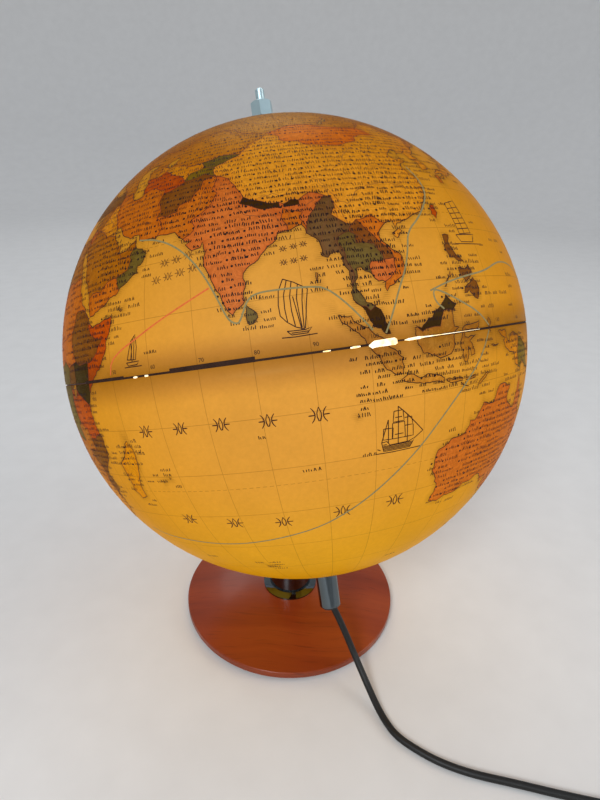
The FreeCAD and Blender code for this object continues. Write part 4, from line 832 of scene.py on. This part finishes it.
ROW, ACROSS = 1.25, 118      # degrees between rows of names, and names along the equator
small = Ribbons()
for row in range(-58, 66):
    lat = row * ROW
    if abs(lat) < 1.6 or abs(lat) > 74:
        continue
    c = math.cos(math.radians(lat))
    for col in range(int(ACROSS * c)):
        seed = cell(col * 1.37, row * 2.11, 4.5)
        lon = WEST + 3 + (col + 0.7 * (row % 3) / 3 + 0.35 * seed) * (SPAN - 6) / (ACROSS * c)
        here = find(lon, lat)
        kind = label[here] if here is not None else None
        seen = 30 < lon < 150
        dense = 44 < lon < 125 and 6 < lat < 45
        if kind == "sea":
            off = from_line(lon, lat)
            chance = (0.55 if off < 2.2 else 0.012) if seen else 0.12 if off < 2 else 0.0
            if 96 < lon < 118 and -11 < lat < 2:
                chance = 0.75
            elif 118 < lon < 142 and -11 < lat < 20:
                chance += 0.12
        else:
            chance = 1.0 if dense else 0.85 if seen else 0.30
        if seed > chance:
            continue
        big = cell(row * 3.3, col * 1.9, 2.5)
        bold = 0.00050 if dense and kind != "sea" or 96 < lon < 118 and abs(lat) < 12 else 0.00042
        count = 4 + int(5 * cell(col * 2.3, row, 8.5))
        if lat > 29 and kind != "sea":
            bold *= 0.72
        tick_row(small, lon, lat + 0.4 * seed, count, 0.58 + 0.28 * big, bold if seen else 0.00034)
        if kind != "sea" and seed > 0.3:
            small.dot(lon - 0.8 / c, lat + 0.4, 0.00062)
small.make("printed_place_marks", ink("ink_small", (44, 20, 12), 0.10))

# generic lozenge curls for the large titles: longitude, latitude and size
CURL = """0 1 0.34 0 0 -1 -0.34 0 0 1|-0.95 0.95 -0.6 0.5 -0.48 0 -0.6 -0.5 -0.95 -0.95
|0.95 0.95 0.6 0.5 0.48 0 0.6 -0.5 0.95 -0.95|-1.3 0 -0.5 0|0.5 0 1.3 0"""
SCROLLS = """55.8 -10.4 1.6|64 -10.3 1.5|72.3 -10.3 1.6|80.9 -10.6 1.6|89.9 -10.7 1.8|56.6 -30.7 1.7|68.2 -31.9 1.7
|79.6 -32.5 1.7|92.9 -31.6 1.8|105 -31.4 1.8|64.6 19.6 1|67.2 19.8 1|69.8 20.2 1|62.8 16.6 1|65.4 16.9 1|68 17.2 1
|70.6 17.6 1|87.6 18.4 0.7|89.5 18.6 0.7|91.3 18.8 0.7|87.4 15.9 0.7|89.2 16 0.7|91 16.2 0.7|-30 20 2|-36 14 2
|-24 26 2|-18 -20 2|-10 -26 2|-140 5 2.2|-130 8 2.2|-120 10 2.2|-150 -20 2|-138 -24 2|-126 -28 2|165 12 2|172 18 2"""
curls = Ribbons()
for scroll in SCROLLS.split("|"):
    lon, lat, s = (float(v) for v in scroll.split())
    c = math.cos(math.radians(lat))
    for text in CURL.split("|"):
        line = [(lon + x * 0.8 * s / c, lat + y * s * 0.8) for x, y in pairs(text)]
        curls.strip(smooth_line(line), 0.00062 if s > 1.2 else 0.00034, taper=True)
curls.make("printed_scrolls", ink("ink_scroll", (76, 38, 20), 0.18))

# small sailing boats, own designs of plain strokes: longitude, latitude, size and strokes
BOATS = [
    # one tall slanted sail
    (88.6, 3.6, 1.0, """-2.2 0.5 -1.5 -0.2 1.2 -0.2 2 0.7 0.9 0.4 -1.2 0.45 -2.2 0.5|-1.5 0.1 1.4 0.1|0.3 0.4 -0.5 6.2
|-3 3.2 -2 2 -0.6 1 0.8 0.5|-1.8 9.4 0 8.6 2.2 7.2|-1.8 9.4 -2.8 7.4 -3.1 5 -3 3.2|-1.2 9.1 -2 6.6 -2.1 4.2 -1.9 2
|-0.4 8.8 -1 6.2 -1 3.8 -0.7 1.2|0.6 8.2 0.1 5.8 0.2 3.4 0.4 0.8|1.4 7.7 1 5.4 0.8 3 0.7 0.6
|2.2 7.2 1.7 5 1.3 2.6 0.9 0.6|-3.2 -0.5 -1 -0.6 2.8 -0.5"""),
    (56.2, 2.3, 0.75, """-2 0.5 -1.4 -0.3 1.5 -0.2 2.2 0.6 -2 0.5|0 0.5 0.2 5.6|-1.6 1.2 0.2 5.6 1.8 7 1.9 4 1.2 1
 -1.6 1.2|-0.4 1.2 0.9 6.1|0.6 1.1 1.5 6.6|-2.8 -0.6 3 -0.6"""),
    # three masts and square sails
    (104.4, -19.6, 1.0, """-3.2 1.8 -2.8 0 2.4 0 3.4 1.7 2.2 1.2 -1.6 1.1 -2.2 1.9 -3.2 1.8|-2.9 0.25 2.6 0.25
|-2.9 0.5 2.8 0.5|-2.9 0.75 2.9 0.75|-2.9 1 3 1|-2.9 1.3 -2.2 1.3|-1.9 1.5 -1.9 6|0 1.1 0 8.2|1.8 1.2 1.8 6.4
|3.3 1.6 5 2.8|-2.8 4.4 -1 4.3 -1.1 2.2 -2.9 2.3 -2.8 4.4|-1.1 5.2 1.2 5.2 1.4 2.2 -1.2 2.2 -1.1 5.2
|-0.8 7.4 0.9 7.4 1.1 5.4 -1 5.4 -0.8 7.4|1.2 4.4 2.9 4.4 3 2.2 1.1 2.2|1.2 5.9 2.6 5.9 2.8 4.6|1.8 6.4 5 2.8
|0 8.2 1.8 6.4|-1.9 6 -3.2 1.8|-4.4 -0.3 -1 -0.4 4.6 -0.3|-0.7 3 1 3|-0.6 6.2 0.7 6.2|-4 0.6 -3.4 0.3"""),
    # ribbed sails
    (127.5, 17.0, 1.05, """-2.6 1.4 -1.8 0 1.8 0 3 1.6 -2.6 1.4|0.2 1.4 0.2 8.6|-1.4 1.6 -1.5 8.2 1.9 9 2.3 1.9
 -1.4 1.6|-1.4 2.6 2.2 2.9|-1.4 3.7 2.2 4|-1.5 4.8 2.1 5.1|-1.5 5.9 2.1 6.3|-1.5 7 2 7.5|-3.6 -0.4 3.8 -0.4""")]
print_lines("printed_boats", ink("ink_boat", (60, 28, 14), 0.14),
            [[(lon + x * s / math.cos(math.radians(lat)), lat + y * s) for x, y in pairs(text)]
             for lon, lat, s, strokes in BOATS for text in strokes.split("|")], 0.00046, lift=0.00013)

# degree numbers along the equator
NUMBER_SIZE = 1.05
verts, faces = [], []
for east in range(0, 360, 10):
    lon = east if east < 191 else east - 360
    font = bpy.data.curves.new("number", "FONT")
    font.body = str(min(east, 360 - east))
    font.size = 1.0
    font.resolution_u = 3
    o = in_scene(bpy.data.objects.new("number", font))
    number = bpy.data.meshes.new_from_object(o.evaluated_get(bpy.context.evaluated_depsgraph_get()))
    base = len(verts)
    verts += [on_ball(lon + 0.35 + v.co.x * NUMBER_SIZE, 1.0 + v.co.y * NUMBER_SIZE, BALL + 0.00012)
              for v in number.vertices]
    faces += [tuple(base + i for i in f.vertices) for f in number.polygons]
    bpy.data.objects.remove(o)
    bpy.data.curves.remove(font)
    bpy.data.meshes.remove(number)
new_mesh("printed_degree_numbers", verts, faces, ink("ink_numbers", (52, 30, 16), 0.15), "globe", smooth=False)


# ------------------------------------------------------------------ the open seam, its painted shadow and the lamplight in it
def seam_piece(name, m, runs, lift):
    """Strips between two latitudes; a run is text, three numbers to a station: longitude, low and high."""
    verts, faces = [], []
    for run in runs.split("|"):
        n = [float(v) for v in run.split()]
        stations = list(zip(n[::3], n[1::3], n[2::3]))
        st = []
        for a, b in zip(stations, stations[1:]):
            k = max(1, math.ceil((b[0] - a[0]) / 1.5))
            st += [tuple(a[j] + (b[j] - a[j]) * i / k for j in range(3)) for i in range(k)]
        st.append(stations[-1])
        base = len(verts)
        for lon, low, high in st:
            verts += [on_ball(lon, low, BALL + lift), on_ball(lon, high, BALL + lift)]
        faces += [tuple(base + 2 * i + j for j in (0, 2, 3, 1)) for i in range(len(st) - 1)]
    new_mesh(name, verts, faces, m, "globe", smooth=True)


# dark strip along the open seam: painted shadow in the gap between the halves, mottled in tone
gap, t, p = material("seam_shadow", Roughness=0.7, Specular_IOR_Level=0.1)
worn = mottle(t, place(t), 240.0, 5.0)
wire(t, p, Base_Color=mix(t, worn, rgba(30, 16, 12), rgba(66, 42, 30)))
seam_piece("seam_gap_shadow", gap, """40 -0.2 0.38 53.4 -0.22 0.42|53.4 -0.2 0.18 64.4 -0.2 0.2
|64.4 -0.22 0.62 80.4 -0.22 0.72|80.4 -0.2 0.2 100.2 -0.2 0.2|110 -0.2 0.2 151 -0.2 0.22""", 0.00016)
leak, t, p = material("seam_lamplight", Roughness=0.5, Emission_Strength=1.05)
glow = ramp(t, mottle(t, place(t), 300.0, 3.0), [(0.35, (1.0, 0.62, 0.24)), (0.6, (1.0, 0.90, 0.66))])
wire(t, p, Base_Color=glow, Emission_Color=glow)
seam_piece("seam_light_gaps", leak, """99.9 -0.25 -0.05 100.5 -0.72 0.3 101 -0.58 0.56 104.8 -0.58 0.64 105.2 -0.4 0.3
|106.6 -0.1 0.02 107.5 -0.24 0.18 109.6 -0.2 0.28 110.6 -0.07 0.16 113 -0.05 0.09 118 -0.03 0.06 124.6 -0.02 0.03
|91.9 -0.16 0 92.6 -0.2 0.06 93.2 -0.14 0.02|96.6 -0.2 0 97.4 -0.26 0.14 98.4 -0.16 0.06
|56 -0.22 0 56.5 -0.28 0.1 57 -0.18 0|58.8 -0.24 0.08 59.6 -0.24 0.08""", 0.00022)

# ------------------------------------------------------------------ carried-over nodes
wood, t, p = material("base_wood", Roughness=0.34, Specular_IOR_Level=0.30, Coat_Weight=0.12, Coat_Roughness=0.15)
v = place(t, turn=(0, 0, math.radians(23.8)))
drift = mottle(t, v, 9.0, 2.0)
warp = node(t, "CombineXYZ", i1=times(t, calc(t, "SUBTRACT", drift, 0.5), 0.030)).outputs[0]
bent = node(t, "VectorMath", s_operation="ADD", i0=v, i1=warp).outputs[0]


def grain(scale, detail, **values):
    """Streaks: noise stretched along the board."""
    long = node(t, "VectorMath", s_operation="MULTIPLY", i0=bent, i1=scale).outputs[0]
    return mottle(t, long, 1.0, detail, **values)


fibres = grain((9.0, 150.0, 60.0), 6.0, Roughness=0.65)
bands = grain((2.5, 34.0, 20.0), 3.0, Roughness=0.5)
pores = grain((40.0, 900.0, 300.0), 2.0)
c = ramp(t, bands, [(0.30, lin(124, 46, 13)), (0.5, lin(146, 58, 18)), (0.7, lin(164, 72, 25))])
c = mix(t, times(t, fibres, 0.42), c, rgba(92, 32, 10))
c = mix(t, ramp(t, pores, [(0.28, (0.30, 0.30, 0.30)), (0.40, (0, 0, 0))]), c, rgba(58, 20, 9))
wire(t, p, Base_Color=c, Roughness=spread(t, fibres, 0.20, 0.24))
bump(t, p, calc(t, "ADD", fibres, pores), 0.10, 0.0003)
paint(wood, "base_disc")


def metal(name, colour, rough, streaks=(1, 1, 1), dark=0.85):
    m, t, p = material(name, Metallic=1.0)
    a = mottle(t, place(t, streaks), 260.0, 4.0)
    b = mottle(t, place(t), 38.0, 5.0)
    worn = spread(t, a, rough * 0.5, spread(t, b, rough * 0.9, rough * 0.5))
    wire(t, p, Base_Color=mix(t, b, rgba(*colour), rgba(*(x * dark for x in colour))), Roughness=worn)
    bump(t, p, a, 0.03, 0.0001)
    return m


def plastic(name, dark, light, rough, grit=700.0, depth=0.0002, emit=0.0):
    m, t, p = material(name, Specular_IOR_Level=0.45)
    v = place(t)
    a = mottle(t, v, grit, 3.0)
    b = mottle(t, v, 45.0, 4.0)
    c = mix(t, b, rgba(*dark), rgba(*light))
    wire(t, p, Base_Color=c, Roughness=spread(t, b, 0.16, rough))
    bump(t, p, a, 0.22, depth)
    if emit:
        wire(t, p, Emission_Color=c, Emission_Strength=emit)
    return m


# the stem and sleeve chrome is coloured darker than bare chrome: a painted dark reflection of the room around it
paint(metal("chrome_painted_dark_reflection", (104, 112, 116), 0.045), "stem_column", "axis_sleeve")
paint(metal("finial_zinc", (206, 232, 238), 0.30, dark=0.9), "finial_nut", "north_pivot_rod", "finial_washer")
paint(metal("arm_chrome", (168, 172, 174), 0.16, (1, 1, 8)), "meridian_arm")
paint(metal("nickel_parts", (196, 202, 206), 0.20), "arm_screw", "base_bolt", "base_washer", "tube_lock_nut",
      "lamp_tube", "switch_screws", "plug_pins", "bulb_cap", "lampholder_screw_shell")
paint(plastic("moulded_black", (24, 24, 25), (36, 35, 35), 0.36), "switch_lower_housing", "switch_upper_housing",
      "plug_body", "cord_bushing", "lampholder_cap", "lampholder_body")
paint(plastic("rocker_grey", (62, 62, 63), (78, 77, 76), 0.30), "switch_rocker")
paint(plastic("bearing_nylon", (206, 198, 182), (222, 214, 198), 0.42), "north_thrust_washer", "south_thrust_washer")
paint(plastic("pole_cap_amber", (150, 92, 34), (176, 112, 46), 0.42, emit=0.35),
      "north_bearing_cap", "south_bearing_cap")
paint(plastic("joint_ring_brown", (58, 30, 16), (82, 44, 24), 0.5), "equator_joint_ring")
paint(plastic("felt_green_black", (22, 26, 22), (44, 48, 42), 0.85, 1800.0, 0.0006), "base_felt")
paint(metal("ballast_iron", (92, 92, 94), 0.5), "ballast_plate")
paint(plastic("tie_strap", (26, 26, 28), (44, 44, 46), 0.7, 2200.0, 0.0005), "cord_tie")
paint(metal("contact_brass", (190, 150, 84), 0.25), "lampholder_contact", "switch_contacts", "bulb_filament_mount")
paint(rubber, "lamp_lead")
paint(plastic("bulb_glass_warm", (250, 226, 170), (255, 240, 200), 0.3, emit=2.0), "bulb_glass")


# ------------------------------------------------------------------ stage and light
def area(name, at, to, size, power, colour=(1, 1, 1)):
    d = bpy.data.lights.new(name, "AREA")
    d.shape = "DISK"
    d.size = size
    d.energy = power
    d.color = colour
    turn = (Vector(at) - Vector(to)).to_track_quat("Z", "Y").to_matrix().to_4x4()
    in_scene(bpy.data.objects.new(name, d)).matrix_world = Matrix.Translation(at) @ turn


# a round floor that rises into a wall, from its profile of radius and height
FLAT_R, BEND_R, WALL_TOP, SEGS, SUNK = 2.0, 0.9, 2.6, 96, 0.0002
profile = [(0.0, 0.0), (0.5, 0.0), (1.2, 0.0), (FLAT_R, 0.0)]
for k in range(1, 17):
    a = math.radians(90 * k / 16)
    profile.append((FLAT_R + BEND_R * math.sin(a), BEND_R - BEND_R * math.cos(a)))
profile.append((FLAT_R + BEND_R, WALL_TOP))
verts = [(r * math.cos(math.tau * k / SEGS), r * math.sin(math.tau * k / SEGS), z - SUNK)
         for r, z in profile for k in range(SEGS)]
faces = [(i + k, i + (k + 1) % SEGS, i + SEGS + (k + 1) % SEGS, i + SEGS + k)
         for i in range(0, SEGS * (len(profile) - 1), SEGS) for k in range(SEGS)]
pale, t, p = material("studio_floor", Roughness=0.75, Specular_IOR_Level=0.25)
speck = mottle(t, place(t), 35.0, 5.0)
wire(t, p, Base_Color=ramp(t, speck, [(0.3, (0.74, 0.73, 0.715)), (0.7, (0.77, 0.76, 0.745))]))
floor = mesh_object("studio_floor", verts, faces, pale)
SCENE.world = bpy.data.worlds.new("studio")
SCENE.world.use_nodes = True
sky = SCENE.world.node_tree.nodes["Background"]
sky.inputs[0].default_value = (0.80, 0.86, 0.95, 1)
sky.inputs[1].default_value = 0.58
area("key", (-1.0, -1.1, 1.25), (0, 0, 0.18), 0.55, 17.0, (0.93, 0.97, 1.0))
area("fill", (1.5, -0.9, 1.1), (0, 0, 0.2), 1.1, 8.0, (1.0, 0.96, 0.92))
area("rim", (0.4, 1.5, 1.5), (0, 0, 0.25), 0.9, 5.0)
SCENE.view_settings.view_transform = "Standard"
